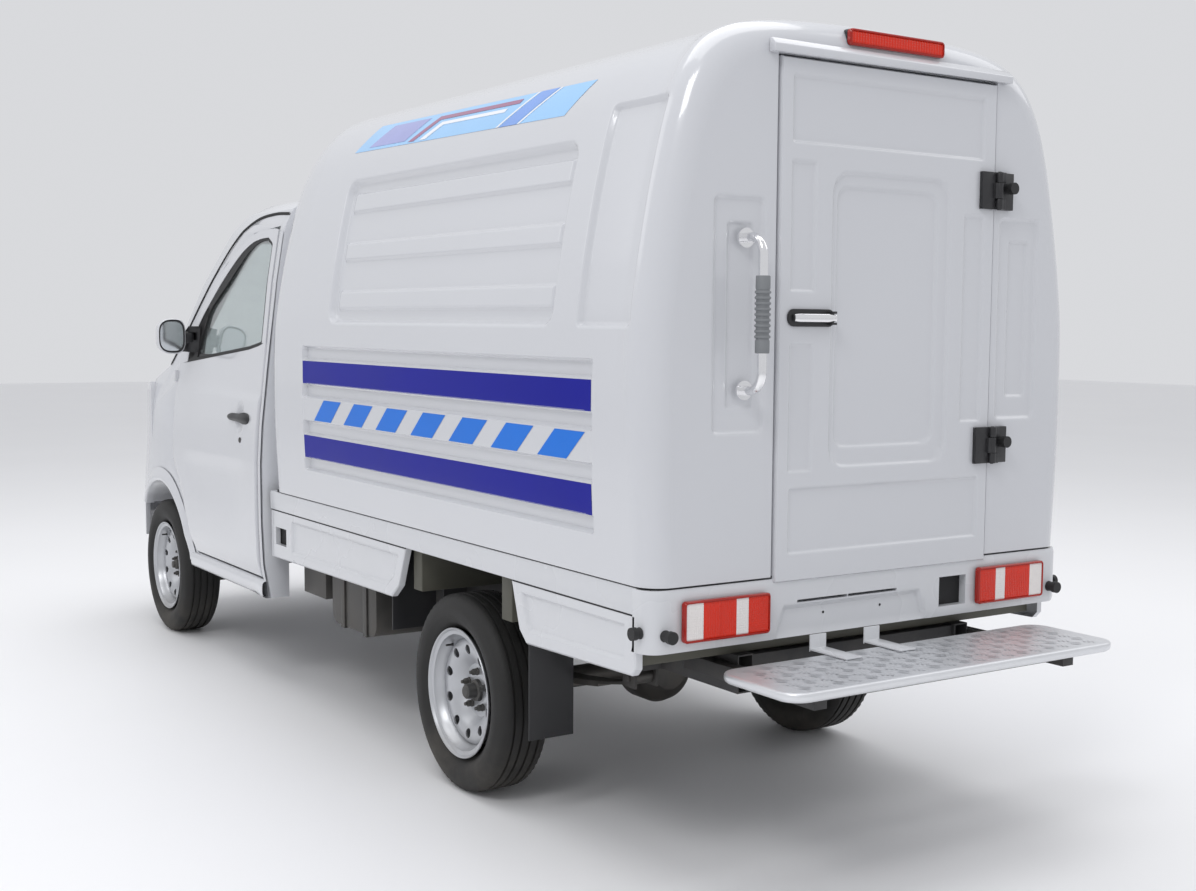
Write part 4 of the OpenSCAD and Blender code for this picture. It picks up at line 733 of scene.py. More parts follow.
# ------------------------------------------------------------------ carried-over CAD nodes
SOFT_EDGES = {
    "chassis_frame": ("chassis_black", 0.003), 
    "drip_rail": ("body_paint", 0.002),
    "dashboard": ("grey_plastic", 0.006), "powertrain": ("dark_steel", 0.004),
    "steering_rack": ("dark_steel", 0.001), "wheel_arch_liners": ("black_plastic", 0.002),
    "left_knuckle": ("dark_steel", 0.002), "right_knuckle": ("dark_steel", 0.002),
    "rear_axle": ("dark_steel", 0.002), "propshaft": ("dark_steel", 0.001),
    "handbrake_lever": ("black_plastic", 0.002),
    "left_wiper": ("black_plastic", 0.001), "right_wiper": ("black_plastic", 0.001),
    "clutch_pedal": ("black_plastic", 0.001), "brake_pedal": ("black_plastic", 0.001),
    "accelerator_pedal": ("black_plastic", 0.001), "body_hinge_leaves": ("black_plastic", 0.0015),
    "door_hardware": ("black_plastic", 0.0015), "latch_bolt": ("bright_chrome", 0.001)}
AS_DRAWN = {
    "deck_platform": "deck_paint", "side_skirts": "deck_paint", "rear_valance": "deck_paint",
    "step_brackets": "chassis_black", "cab_shell": "body_paint", "bonnet": "body_paint",
            "front_bumper": "body_paint",
    "tail_lamp_housings": "black_plastic", "lamp_lenses": "lens_red",
            "rubber_buffers": "soft_rubber",
    "door_seal": "soft_rubber", "grab_handle": "bright_chrome", "handle_grip": "grip_rubber",
    "step_plate": "polished_alloy", "cab_glass": "window_glass", "headlamps": "lamp_glass",
    "seats": "grey_plastic", "suspension_springs": "dark_steel", "rear_door_panel": "body_paint",
    "latch_lever": "bright_chrome", "left_cab_door": "body_paint", "right_cab_door": "body_paint",
    "left_door_handle": "black_plastic", "right_door_handle": "black_plastic",
    "left_door_glass": "window_glass", "right_door_glass": "window_glass",
            "left_mirror": "black_plastic",
    "right_mirror": "body_paint", "steering_wheel": "black_plastic", "left_strut": "dark_steel",
    "right_strut": "dark_steel", "cargo_body": "body_paint", "gear_lever": "black_plastic",
    "tyre_front_left": "tread_rubber", "tyre_front_right": "tread_rubber",
            "tyre_rear_left": "tread_rubber",
    "tyre_rear_right": "tread_rubber", "rim_front_left": "wheel_silver",
            "rim_front_right": "wheel_silver",
    "rim_rear_left": "wheel_silver", "rim_rear_right": "wheel_silver"}


def paint_nodes():
    for node in NODES:
        finish = AS_DRAWN.get(node) or SOFT_EDGES[node][0]
        mesh = NODES[node].data
        mesh.materials.clear()
        mesh.materials.append(FINISHES[finish])
        mesh.shade_smooth()
        mesh.set_sharp_from_angle(angle=0.5)


# ------------------------------------------------------------------ studio
def studio():
    floor = draped([-30, 30], [-30, 30], lambda x, y: Vector((x, y, 0)))
    pale = Finish("studio_floor", Roughness=0.55)
    pale.drive("Base Color", mix(pale.noise(0.7), (0.86, 0.86, 0.87), (0.89, 0.89, 0.90)))
    mesh = bpy.data.meshes.new("floor")
    floor.to_mesh(mesh)
    floor.free()
    mesh.materials.append(pale.material)
    ground = bpy.data.objects.new("floor", mesh)
    bpy.context.scene.collection.objects.link(ground)
    world = bpy.data.worlds.new("studio")
    bpy.context.scene.world = world
    world.use_nodes = True
    world.node_tree.nodes["Background"].inputs["Color"].default_value = (0.96, 0.97, 1.0, 1)
    world.node_tree.nodes["Background"].inputs["Strength"].default_value = 0.72
    bpy.context.scene.view_settings.view_transform = "Standard"
    for name, place, target, size, power in (
            ("key", (5.5, 5.0, 7.0), (0, 0.6, 1.0), 2.5, 150),
            ("fill", (6.5, -5.0, 5.5), (0, -0.8, 1.0), 4.0, 40),
            ("back", (-6.0, 3.5, 6.0), (0, 0.0, 1.0), 4.0, 45),
            ("over", (0.0, 0.0, 7.5), (0, 0.0, 0.0), 7.0, 260)):
        lamp = bpy.data.lights.new(name, "AREA")
        lamp.energy = power
        lamp.size = size
        holder = bpy.data.objects.new(name, lamp)
        holder.location = place
        holder.rotation_euler = (Vector(target) - Vector(place)).to_track_quat("-Z", "Y").to_euler()
        bpy.context.scene.collection.objects.link(holder)


def camera():
    """The eye stands behind the truck's left rear corner, a little above the waist."""
    azimuth, elevation, roll = math.radians(145.2481), math.radians(5.3671), math.radians(0.5504)
    look = -Vector((math.sin(azimuth) * math.cos(elevation),
                    -math.cos(azimuth) * math.cos(elevation),
                    math.sin(elevation)))
    right = look.cross(Vector((0, 0, 1))).normalized()
    up = right.cross(look)
    turned_right = right * math.cos(roll) + up * math.sin(roll)
    turned_up = up * math.cos(roll) - right * math.sin(roll)
    lens = bpy.data.cameras.new("eye")
    lens.sensor_width = 36
    lens.lens = 45.633
    lens.shift_x = -0.0611
    lens.shift_y = 0.0185
    lens.clip_end = 200
    eye = bpy.data.objects.new("eye", lens)
    pose = Matrix((turned_right, turned_up, -look)).transposed().to_4x4()
    eye.matrix_world = Matrix.Translation((2.7171, AXLE + 4.0081, 1.3955)) @ pose
    bpy.context.scene.collection.objects.link(eye)
    bpy.context.scene.camera = eye


# ------------------------------------------------------------------ wheels
def tyre(word):
    """Sidewalls with a rim guard, and a tread of ribs with cut shoulders."""
    low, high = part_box(f"tyre_{word}")
    centre = (low + high) / 2
    radius = (high.z - low.z) / 2
    half = (high.x - low.x) / 2
    bead = 0.1935
    groove = 0.007
    outer = [(bead, 0.058), (bead + 0.012, 0.066), (bead + 0.020, 0.0745), (bead + 0.030, 0.0785),
             (bead + 0.034, 0.0815), (bead + 0.042, half - 0.0015), (bead + 0.052, half),
             (bead + 0.066, half - 0.0005),
             (radius - 0.026, half - 0.0055), (radius - 0.020, half - 0.0070),
             (radius - 0.013, half - 0.0110),
             (radius - 0.006, half - 0.0165), (radius - 0.002, half - 0.024)]
    tread = [(radius - 0.0012, half - 0.030)]
    for place in (0.042, 0.0145):
        tread += [(radius - 0.0004, place + 0.0042), (radius - groove, place + 0.0030),
                  (radius - groove, place - 0.0030), (radius - 0.0002, place - 0.0042)]
    right = outer + tread + [(radius, 0.0)]
    left = [(r, -along) for r, along in reversed(right[:-1])]
    inner = [(bead - 0.004, -0.050), (bead + 0.01, -0.040), (radius - 0.040, -0.040),
             (radius - 0.040, 0.040),
             (bead + 0.01, 0.040), (bead - 0.004, 0.050)]
    steps = 140
    bm = turned(right + left + inner, (1, 0, 0), centre, steps)
    # sipes across the shoulder ribs
    for v in bm.verts:
        across = abs(v.co.x - centre.x)
        out = Vector((0, v.co.y - centre.y, v.co.z - centre.z))
        turn = round(math.degrees(math.atan2(out.z, out.y)) / (360 / steps))
        if turn % 2 == 0 and out.length > radius - 0.016 and across > half - 0.028:
            v.co -= out.normalized() * (0.0042 if out.length > radius - 0.0075 else 0.0016)
    put(f"tyre_tread_{word}", bm, ["tread_rubber"], BODY_OF[f"tyre_{word}"], [f"tyre_{word}"], 0.7)


def rim(word, side, rear):
    """A pressed steel rim: rolled flange, deep barrel, dished disc with round holes, nuts and a dark hub."""
    low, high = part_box(f"tyre_{word}")
    centre = (low + high) / 2
    body = BODY_OF[f"rim_{word}"]
    out = side  # the disc is seen from this side

    def spun(profile, steps=72):
        return turned([(r, a * out) for r, a in profile], (1, 0, 0), centre, steps)

    barrel = [(0.1935, 0.0770), (0.1955, 0.0745), (0.1945, 0.0700), (0.1890, 0.0665),
              (0.1795, 0.0640),
              (0.1770, 0.0550), (0.1700, 0.0440), (0.1640, 0.0340), (0.1640, -0.0500),
              (0.1780, -0.0600),
              (0.1800, -0.0680), (0.1890, -0.0700), (0.1945, -0.0740), (0.1950, -0.0770),
              (0.1920, -0.0780),
              (0.1860, -0.0740), (0.1770, -0.0710), (0.1745, -0.0620), (0.1600, -0.0520),
              (0.1600, 0.0360),
              (0.1660, 0.0480), (0.1725, 0.0580), (0.1750, 0.0670), (0.1860, 0.0700),
              (0.1905, 0.0760)]
    disc = [(0.1605, 0.0180), (0.1600, 0.0300), (0.1540, 0.0370), (0.1440, 0.0405),
            (0.1280, 0.0400),
            (0.1120, 0.0355), (0.0960, 0.0240), (0.0860, 0.0100), (0.0800, 0.0040),
            (0.0720, 0.0030), (0.0640, 0.0060),
            (0.0540, 0.0068), (0.0420, 0.0060), (0.0340, 0.0060), (0.0340, 0.0015),
            (0.0720, -0.0010),
            (0.0830, -0.0005), (0.0900, 0.0060), (0.1000, 0.0210), (0.1140, 0.0310),
            (0.1290, 0.0350), (0.1430, 0.0355),
            (0.1530, 0.0310), (0.1560, 0.0180)]
    bm = joined(spun(barrel), spun(disc, 120))
    # the ten holes: punched through the dish
    cutters = []
    for k in range(10):
        angle = 2 * math.pi * (k + 0.5) / 10
        cut = bmesh.new()
        bmesh.ops.create_cone(cut, cap_ends=True, segments=24, radius1=0.0148, radius2=0.0148,
                              depth=0.06)
        bmesh.ops.rotate(cut, cent=(0, 0, 0), matrix=Matrix.Rotation(math.pi / 2, 3, "Y"),
                         verts=cut.verts)
        bmesh.ops.translate(cut,
                            vec=centre + Vector((0.030 * out, 0.128 * math.cos(angle),
                                                 0.128 * math.sin(angle))),
                            verts=cut.verts)
        cutters.append(cut)
    mesh = bpy.data.meshes.new("cutters")
    tool = joined(*cutters)
    tool.to_mesh(mesh)
    tool.free()
    punch = bpy.data.objects.new(f"punch_{word}", mesh)
    bpy.context.scene.collection.objects.link(punch)
    piece = put(f"rim_disc_{word}", bm, ["wheel_silver"], body, [f"rim_{word}"], 0.6)
    hole = modify(piece, "BOOLEAN", operation="DIFFERENCE", solver="EXACT", object=punch)
    bpy.context.view_layer.objects.active = piece
    with bpy.context.temp_override(object=piece, active_object=piece):
        bpy.ops.object.modifier_apply(modifier=hole.name)
    bpy.data.objects.remove(punch)
    piece.data.set_sharp_from_angle(angle=0.6)
    # nuts, studs and the hub's dust cap
    bits = []
    for k in range(5):
        angle = 2 * math.pi * k / 5 + math.pi / 2
        place = centre + Vector((0.0, 0.05715 * math.cos(angle), 0.05715 * math.sin(angle)))
        bits.append(turned([(0.0, 0.026), (0.0085, 0.0255), (0.0100, 0.0235), (0.0102, 0.0120),
                            (0.0120, 0.0105),
                            (0.0120, 0.0065), (0.0, 0.0065)], (out, 0, 0), place, 6))
        bits.append(turned([(0.0, 0.034), (0.0050, 0.0335), (0.0056, 0.032), (0.0056, 0.02),
                            (0.0, 0.02)],
                           (out, 0, 0), place, 12))
    put(f"wheel_nuts_{word}", joined(*bits), ["dark_steel"], body, [f"rim_{word}"], 0.6)
    reach = 0.052 if rear else 0.040
    hub = spun([(0.0, reach), (0.016, reach - 0.001), (0.0215, reach - 0.006),
                (0.0225, reach - 0.014), (0.0245, 0.020),
                (0.0320, 0.016), (0.0335, 0.010), (0.0335, -0.004), (0.0, -0.004)], 40)
    put(f"hub_cap_{word}", hub, ["dark_steel"], body, [f"rim_{word}"], 0.6)
    valve = turned([(0.0, 0.026), (0.0032, 0.0255), (0.0036, 0.010), (0.0050, 0.002), (0.0, 0.002)],
                   (out, 0, 0),
                   centre + Vector((0.040 * out, 0.157 * math.cos(2.2), 0.157 * math.sin(2.2))), 10)
    put(f"valve_{word}", valve, ["soft_rubber"], body, (), 0.6)


def wheels():
    for word in ("front_left", "front_right", "rear_left", "rear_right"):
        side = 1 if word.endswith("left") else -1
        tyre(word)
        rim(word, side, word.startswith("rear"))


# ------------------------------------------------------------------ rear step
def outline_box(x0, x1, y0, y1, radius, steps=8):
    """A rounded rectangle's points, anticlockwise."""
    points = []
    for cx, cy, start in ((x1 - radius, y0 + radius, -90), (x1 - radius, y1 - radius, 0),
                          (x0 + radius, y1 - radius, 90),
                          (x0 + radius, y0 + radius, 180)):
        points += [(cx + radius * math.cos(math.radians(start + 90 * k / steps)),
                    cy + radius * math.sin(math.radians(start + 90 * k / steps)))
                   for k in range(steps + 1)]
    return points


def step():
    """Chequer plate with a rolled edge: three-bar lozenges set crossways in turn."""
    low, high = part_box("step_plate")
    sheet = bmesh.new()
    rings = []
    section = [(0.010, 0.0), (0.0065, 0.0), (0.0025, 0.0015), (0.0004, 0.0050), (0.0, 0.0095),
               (0.0004, 0.0150),
               (0.0025, 0.0205), (0.0060, 0.0238), (0.0110, 0.0240), (0.0110, 0.0215),
               (0.0085, 0.0180)]
    for inset, down in section:
        points = outline_box(low.x + inset, high.x - inset, low.y + inset, high.y - inset,
                             0.055 - inset * 0.5)
        ring = [sheet.verts.new((x, y, high.z - 0.0014 - down)) for x, y in points]
        rings.append([sheet.edges.new((ring[i], ring[(i + 1) % len(ring)]))
                      for i in range(len(ring))])
    for a, b in zip(rings, rings[1:]):
        bmesh.ops.bridge_loops(sheet, edges=a + b)
    bmesh.ops.contextual_create(sheet, geom=rings[0])
    bmesh.ops.contextual_create(sheet, geom=rings[-1])
    bmesh.ops.recalc_face_normals(sheet, faces=sheet.faces)
    put("step_sheet", sheet, ["polished_alloy"], BODY_OF["step_plate"], ["step_plate"], 0.7)
    # each lozenge is a low ridge; groups of three lie one way and then the other
    pitch_x, pitch_y = 0.0520, 0.0420
    bars = []
    columns = int((high.x - low.x - 0.06) / pitch_x)
    rows = int((high.y - low.y - 0.04) / pitch_y)
    x_start = (low.x + high.x) / 2 - (columns - 1) * pitch_x / 2
    y_start = (low.y + high.y) / 2 - (rows - 1) * pitch_y / 2
    for column in range(columns):
        for row in range(rows):
            turn = math.radians(45 if (column + row) % 2 else -45)
            for k in (-1, 0, 1):
                cx = x_start + column * pitch_x + k * 0.0115 * -math.sin(turn)
                cy = y_start + row * pitch_y + k * 0.0115 * math.cos(turn)
                if not (low.x + 0.028 < cx < high.x - 0.028 and low.y
                        + 0.022 < cy < high.y - 0.022):
                    continue
                corner = max(0, abs(cx) - (high.x - 0.075)) ** 2 + max(0, abs(cy - (low.y + high.y) / 2)
                                                                     - ((high.y - low.y) / 2 - 0.075)) ** 2
                if corner > 0.046 ** 2:
                    continue
                bar = bmesh.new()
                bmesh.ops.create_circle(bar, cap_ends=True, segments=8, radius=1)
                bmesh.ops.scale(bar, vec=(0.0165, 0.0034, 1), verts=bar.verts)
                made = bmesh.ops.inset_region(bar, faces=bar.faces[:], thickness=0.0018)
                top = [f for f in bar.faces if f not in made["faces"]]
                for v in {v for f in top for v in f.verts}:
                    v.co.z = 0.0013
                bmesh.ops.rotate(bar, cent=(0, 0, 0), matrix=Matrix.Rotation(turn, 3, "Z"),
                                 verts=bar.verts)
                bmesh.ops.translate(bar, vec=(cx, cy, high.z - 0.0014), verts=bar.verts)
                bars.append(bar)
    put("step_lozenges", joined(*bars), ["polished_alloy"], BODY_OF["step_plate"], ["step_plate"],
        0.5)


# ------------------------------------------------------------------ tail lamps
def lamp_unit(name, x0, x1, z0, z1, front, segments, lens_depth=0.014):
    """A lamp's lens in upright segments: (share of the width, finish, ribs across)."""
    body = BODY_OF["lamp_lenses"]
    rim_width = 0.0065
    section = [(0.0, 0.0), (0.0, lens_depth - 0.003), (0.0025, lens_depth),
               (rim_width - 0.001, lens_depth),
               (rim_width, lens_depth - 0.0025), (rim_width, 0.0), (0.0, 0.0)]
    rings = [[Vector((x, front + y, z)) for x, z in
              outline_box(x0 + inset, x1 - inset, z0 + inset, z1 - inset, 0.010 - inset * 0.8, 5)]
             for inset, y in section]
    count = len(rings[0])
    frame_bm = draped(list(range(count + 1)), list(range(len(rings))),
                      lambda u, v: rings[v][u % count])
    bmesh.ops.remove_doubles(frame_bm, verts=frame_bm.verts, dist=1e-6)
    bmesh.ops.recalc_face_normals(frame_bm, faces=frame_bm.faces)
    put(name + "_frame", frame_bm, ["lens_dark_red"], body, ["lamp_lenses"], 0.6)
    total = sum(share for share, finish, ribs in segments)
    place = x0 + rim_width + 0.0004
    width = x1 - x0 - 2 * rim_width - 0.0008
    for k, (share, finish, ribs) in enumerate(segments):
        a, b = place, place + width * share / total
        place = b

        def face(x, z, a=a, b=b, ribs=ribs):
            wave = 0.0006 * math.cos((x - a) / (b - a) * ribs * 2 * math.pi)
            cross = 0.0004 * math.cos((z - z0) * 2 * math.pi / 0.006)
            edge = min(x - a, b - x, z - z0 - rim_width, z1 - rim_width - z)
            return Vector((x, front + lens_depth - 0.0022 + wave
                           + cross - quarter(max(0, edge), 0.0015), z))

        bm = draped(ticks(a + 0.0002, b - 0.0002, 0.0016, [], 0.001),
                    ticks(z0 + rim_width, z1 - rim_width, 0.0020, [], 0.001),
                    face)
        facing(bm, lambda at: Vector((0, 1, 0)))
        edges = [e for e in bm.edges if e.is_boundary]
        made = bmesh.ops.extrude_edge_only(bm, edges=edges)["geom"]
        for v in [g for g in made if isinstance(g, bmesh.types.BMVert)]:
            v.co.y = front
        bmesh.ops.contextual_create(bm, geom=[e for e in bm.edges if e.is_boundary])
        bmesh.ops.recalc_face_normals(bm, faces=bm.faces)
        put(f"{name}_segment_{k}", bm, [finish], body, ["lamp_lenses"], 0.9)


def tail_lamps():
    outer, inner = 0.633, 0.368
    z0, z1 = 0.628, 0.731
    front = REAR + 0.0063
    order = [(0.20, "lens_clear", 9), (0.21, "lens_red", 7), (0.19, "lens_red", 7),
             (0.15, "lens_clear", 7),
             (0.25, "lens_red", 10)]
    # the order runs from each lamp's outer end
    lamp_unit("tail_lamp_left", inner, outer, z0, z1, front, order[::-1])
    lamp_unit("tail_lamp_right", -outer, -inner, z0, z1, front, order)
    lamp_unit("high_brake_lamp", -0.193, 0.137, 2.102, 2.144, REAR + 0.0008, [(1, "lens_red", 34)],
              0.0125)


# ------------------------------------------------------------------ rear lock and handle
def lock():
    """A drop-nose lever on its long base plate."""
    low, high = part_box("latch_lever")
    z = (low.z + high.z) / 2
    y = high.y
    length = high.x - low.x

    def lever_face(s, t):
        x = low.x + s * length
        half = (0.0105 if s > 0.12 else 0.0085) * (1 - 0.18 * max(0, s - 0.9) / 0.1)
        bulge = math.sin(math.pi * t)
        return Vector((x, y - 0.006 + 0.006 * bulge ** 0.5 - 0.004 * max(0, s - 0.82) / 0.18,
                       z + half * math.cos(math.pi * t)))

    bm = draped(list(np.linspace(0, 1, 25)), list(np.linspace(0, 1, 13)), lever_face)
    facing(bm, lambda at: Vector((0, 1, 0)))
    edges = [e for e in bm.edges if e.is_boundary]
    made = bmesh.ops.extrude_edge_only(bm, edges=edges)["geom"]
    for v in [g for g in made if isinstance(g, bmesh.types.BMVert)]:
        v.co.y = low.y + 0.0035
    bmesh.ops.contextual_create(bm, geom=[e for e in bm.edges if e.is_boundary])
    bmesh.ops.recalc_face_normals(bm, faces=bm.faces)
    put("lock_lever_face", bm, ["bright_chrome"], BODY_OF["latch_lever"], ["latch_lever"], 0.7)


def grip():
    """Ribbed rubber grip between two plain ends."""
    low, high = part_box("handle_grip")
    centre = Vector(((low.x + high.x) / 2, (low.y + high.y) / 2, 0))
    radius = (high.x - low.x) / 2
    profile = [(0.0122, low.z), (0.0165, low.z), (0.0178, low.z + 0.002), (0.0180, low.z + 0.030)]
    ribs = 9
    first, last = low.z + 0.032, high.z - 0.034
    pitch = (last - first) / ribs
    for k in range(ribs):
        z = first + k * pitch
        profile += [(0.0162, z + 0.001), (0.0162, z + 0.0035), (radius - 0.0008, z + 0.0050),
                    (radius, z + 0.0070),
                    (radius, z + pitch - 0.0050), (radius - 0.0008, z + pitch - 0.0030),
                    (0.0162, z + pitch - 0.0012)]
    profile += [(0.0180, high.z - 0.030), (0.0178, high.z - 0.002), (0.0165, high.z),
                (0.0122, high.z)]
    bm = turned(profile, (0, 0, 1), centre, 40)
    put("grip_sleeve", bm, ["grip_rubber"], BODY_OF["handle_grip"], ["handle_grip"], 0.6)


# ------------------------------------------------------------------ cab
WHEEL_Y = -2.845                       # front axle, from the rear axle
CAB_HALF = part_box("cab_shell")[1].x
CAB_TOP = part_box("cab_shell")[1].z
CAB_SIDE = [(0.345, 0.028), (0.475, 0.006), (0.640, 0.0), (0.860, 0.0), (1.000, 0.008),
            (1.140, 0.024),
            (CAB_TOP - 0.320, 0.070), (CAB_TOP - 0.120, 0.102), (CAB_TOP - 0.050, 0.135),
            (CAB_TOP - 0.014, 0.190)]
NOSE_PLAN = [(-3.560, 0.215), (-3.485, 0.150), (-3.455, 0.110), (-3.380, 0.030), (-3.200, 0.0),
             (-2.9, 0.0)]


def cab_x(y, z, lift=0.0):
    """Half-width of the cab at a place on its side, y from the rear axle."""
    inward = float(np.interp(z, [q[0] for q in CAB_SIDE], [q[1] for q in CAB_SIDE]))
    taper = float(np.interp(y, [q[0] for q in NOSE_PLAN], [q[1] for q in NOSE_PLAN]))
    return CAB_HALF - inward - taper + lift


HANDLE_Y, HANDLE_Z = -1.790, 1.020


def door_relief(y, z):
    """Shoulder line, scooped flank and the bowl behind the handle."""
    rise = 0.004 + 0.007 * (1 - ramped(z, 1.085 - 0.02 * (y + 1.6), 1.125 - 0.02 * (y + 1.6)))
    flank = 0.868 + 0.03 * (y + 1.6)
    rise -= 0.010 * ramped(z, 0.50,
                           flank - 0.10) * (1 - ramped(z, flank - 0.060, flank + 0.010)) * (
        ramped(-y, 1.62, 1.92) * (1 - ramped(-y, 2.30, 2.58)))
    rise -= 0.006 * (1 - ramped(z, 0.42, 0.50))
    bowl = math.hypot((y - HANDLE_Y + 0.005) / 0.045, (z - HANDLE_Z) / 0.066)
    return rise - 0.014 * (1 - ramped(bowl, 0.55, 1.0))


def waist(y):
    """Lower edge of the side window."""
    return float(np.interp(-y, [1.60, 1.66, 1.78, 2.54, 2.65], [1.318, 1.300, 1.282, 1.214, 1.208]))


def door_edge(z):
    """The door's front edge at a height."""
    return float(np.interp(z, [0.418, 0.480, 0.640, 0.800], [-2.390, -2.440, -2.520, -2.640]))


def resampled(points, count):
    """count points evenly spread along a line."""
    p = np.array(points, float)
    run = np.concatenate([[0], np.cumsum(np.hypot(*np.diff(p, axis=0).T))])
    return [(float(np.interp(d, run, p[:, 0])), float(np.interp(d, run, p[:, 1])))
            for d in np.linspace(0, run[-1], count)]


DOOR_REAR = -1.604
ROOF_LINE = [(DOOR_REAR, 1.745), (-1.700, 1.748), (-1.880, 1.734), (-2.020, 1.685), (-2.150, 1.620),
             (-2.300, 1.520),
             (-2.452, 1.408), (-2.560, 1.330)]
GLASS_LINE = [(-1.700, 1.716), (-1.790, 1.713), (-1.880, 1.700), (-1.990, 1.662), (-2.110, 1.596),
              (-2.250, 1.506),
              (-2.385, 1.412), (-2.460, 1.340), (-2.520, 1.270)]


def side_sheet(side, us, vs, where, relief):
    """A draped sheet on the cab's side: where(u, v) gives (y, z), relief(y, z) how far it stands out."""
    def place(u, v):
        y, z = where(u, v)
        return nose(Vector((side * cab_x(y, z, relief(y, z)), AXLE + y, z)))

    bm = draped(us, vs, place)
    facing(bm, lambda at: Vector((side, 0, 0.15)))
    return bm


def window_rim(count):
    rear = [(DOOR_REAR - 0.040, waist(-1.66) + 0.012 + (1.700 - waist(-1.66) - 0.02) * k / 6)
            for k in range(7)]
    top = [tuple(q) for q in smooth_line(GLASS_LINE, 4)]
    return resampled(rear + top + [(-2.535, waist(-2.535) + 0.006)], count)


def door_rim(count):
    rear = [(DOOR_REAR, waist(-1.62) + (1.730 - waist(-1.62)) * k / 6) for k in range(7)]
    top = [tuple(q) for q in smooth_line(ROOF_LINE, 4)]
    return resampled(rear + top + [(-2.636, 1.262), (-2.640, waist(-2.64))], count)


def cab_door(side, word):
    body = BODY_OF[f"{word}_cab_door"]
    bottom = 0.418

    def flank(s, t):
        z_guess = bottom + t * (1.25 - bottom)
        y = DOOR_REAR + s * (door_edge(z_guess) - DOOR_REAR)
        return y, bottom + t * (waist(y) - bottom)

    def relief(y, z):
        rim = min(DOOR_REAR - y, z - bottom, y - door_edge(z))
        return door_relief(y, z) - quarter(max(0, rim), 0.006)

    across = ticks(0, 1, 0.022, [0.18, 0.13, 0.22], 0.006, 0.018)
    upward = ticks(0, 1, 0.030, [0.50, 0.52, 0.72, 0.76, 0.80, 0.64, 0.68], 0.008, 0.024)
    lower = side_sheet(side, [0, 0.004, 0.009] + across[1:-1] + [0.991, 0.996, 1],
                       [0, 0.004, 0.009] + upward[1:], flank, relief)
    count = 90
    outer, inner = door_rim(count), window_rim(count)

    def frame_place(s, t):
        k = round(s * (count - 1))
        (y0, z0), (y1, z1) = outer[k], inner[k]
        return y0 + (y1 - y0) * t, z0 + (z1 - z0) * t

    upper = side_sheet(side, [k / (count - 1) for k in range(count)],
                       [0, 0.06, 0.14, 0.4, 0.7, 0.92, 1], frame_place,
                       lambda y, z: 0.004)
    sill = side_sheet(side, list(np.linspace(0, 1, 30)), [0, 0.5, 1],
                      lambda s, t: (-1.61 - s * 1.025, waist(-1.61 - s * 1.025)
                                    + t * 0.004 - 0.001), lambda y, z: 0.0035)
    skin = joined(lower, upper, sill)
    bmesh.ops.remove_doubles(skin, verts=skin.verts, dist=4e-4)
    rimmed(skin, lambda at: Vector((-side * 0.012, 0, 0)), lambda at: Vector((side, 0, 0)))
    put(f"{word}_door_skin", skin, ["body_paint"], body, (), 0.75)
    inner_door = merged_copy(f"{word}_cab_door")
    for v in inner_door.verts:
        if side * v.co.x > cab_x(v.co.y - AXLE, v.co.z) - 0.004:
            v.co.x -= side * 0.003
    put(f"{word}_door_inner", inner_door, ["black_plastic"], body, [f"{word}_cab_door"], 0.5)
    # rubber round the glass, widest along the windscreen pillar, with the filler triangle at its foot
    loop = window_rim(count)
    centre_y, centre_z = -2.0, 1.42

    def rubber(s, t):
        k = round(s * (count - 1))
        y, z = loop[k]
        width = 0.014 + 0.030 * ramped(-y, 1.75, 2.0) + 0.045 * ramped(-y, 2.3, 2.5)
        towards = Vector((centre_y - y, centre_z - z)).normalized()
        return y + towards.x * width * t, z + towards.y * width * t

    band = side_sheet(side, [k / (count - 1) for k in range(count)], [0, 0.2, 0.5, 0.8, 1], rubber,
                      lambda y, z: 0.0015)
    foot = side_sheet(side, list(np.linspace(0, 1, 40)), [0, 0.5, 1],
                      lambda s, t: (-1.645 - s * 0.885, waist(-1.645 - s * 0.885) + 0.001
                                    + t * 0.016), lambda y, z: 0.002)
    corner_z = [waist(-2.53) + 0.002, 1.270, 1.340, 1.412, 1.450]
    front_y = [-2.536, -2.520, -2.460, -2.385, -2.330]
    corner = side_sheet(side, [0, 0.5, 1], list(np.linspace(corner_z[0], corner_z[-1], 14)),
                        lambda s, z: (float(np.interp(z, corner_z, front_y)) * (1 - s)
                                      + s * float(np.interp(z, (corner_z[0], corner_z[-1]),
                                                            (-2.43, -2.30))), z),
                        lambda y, z: 0.0015)
    trim = joined(band, foot, corner)
    rimmed(trim, lambda at: Vector((-side * 0.022, 0, 0)), lambda at: Vector((side, 0, 0)))
    put(f"{word}_window_rubber", trim, ["soft_rubber"], body, (), 0.8)


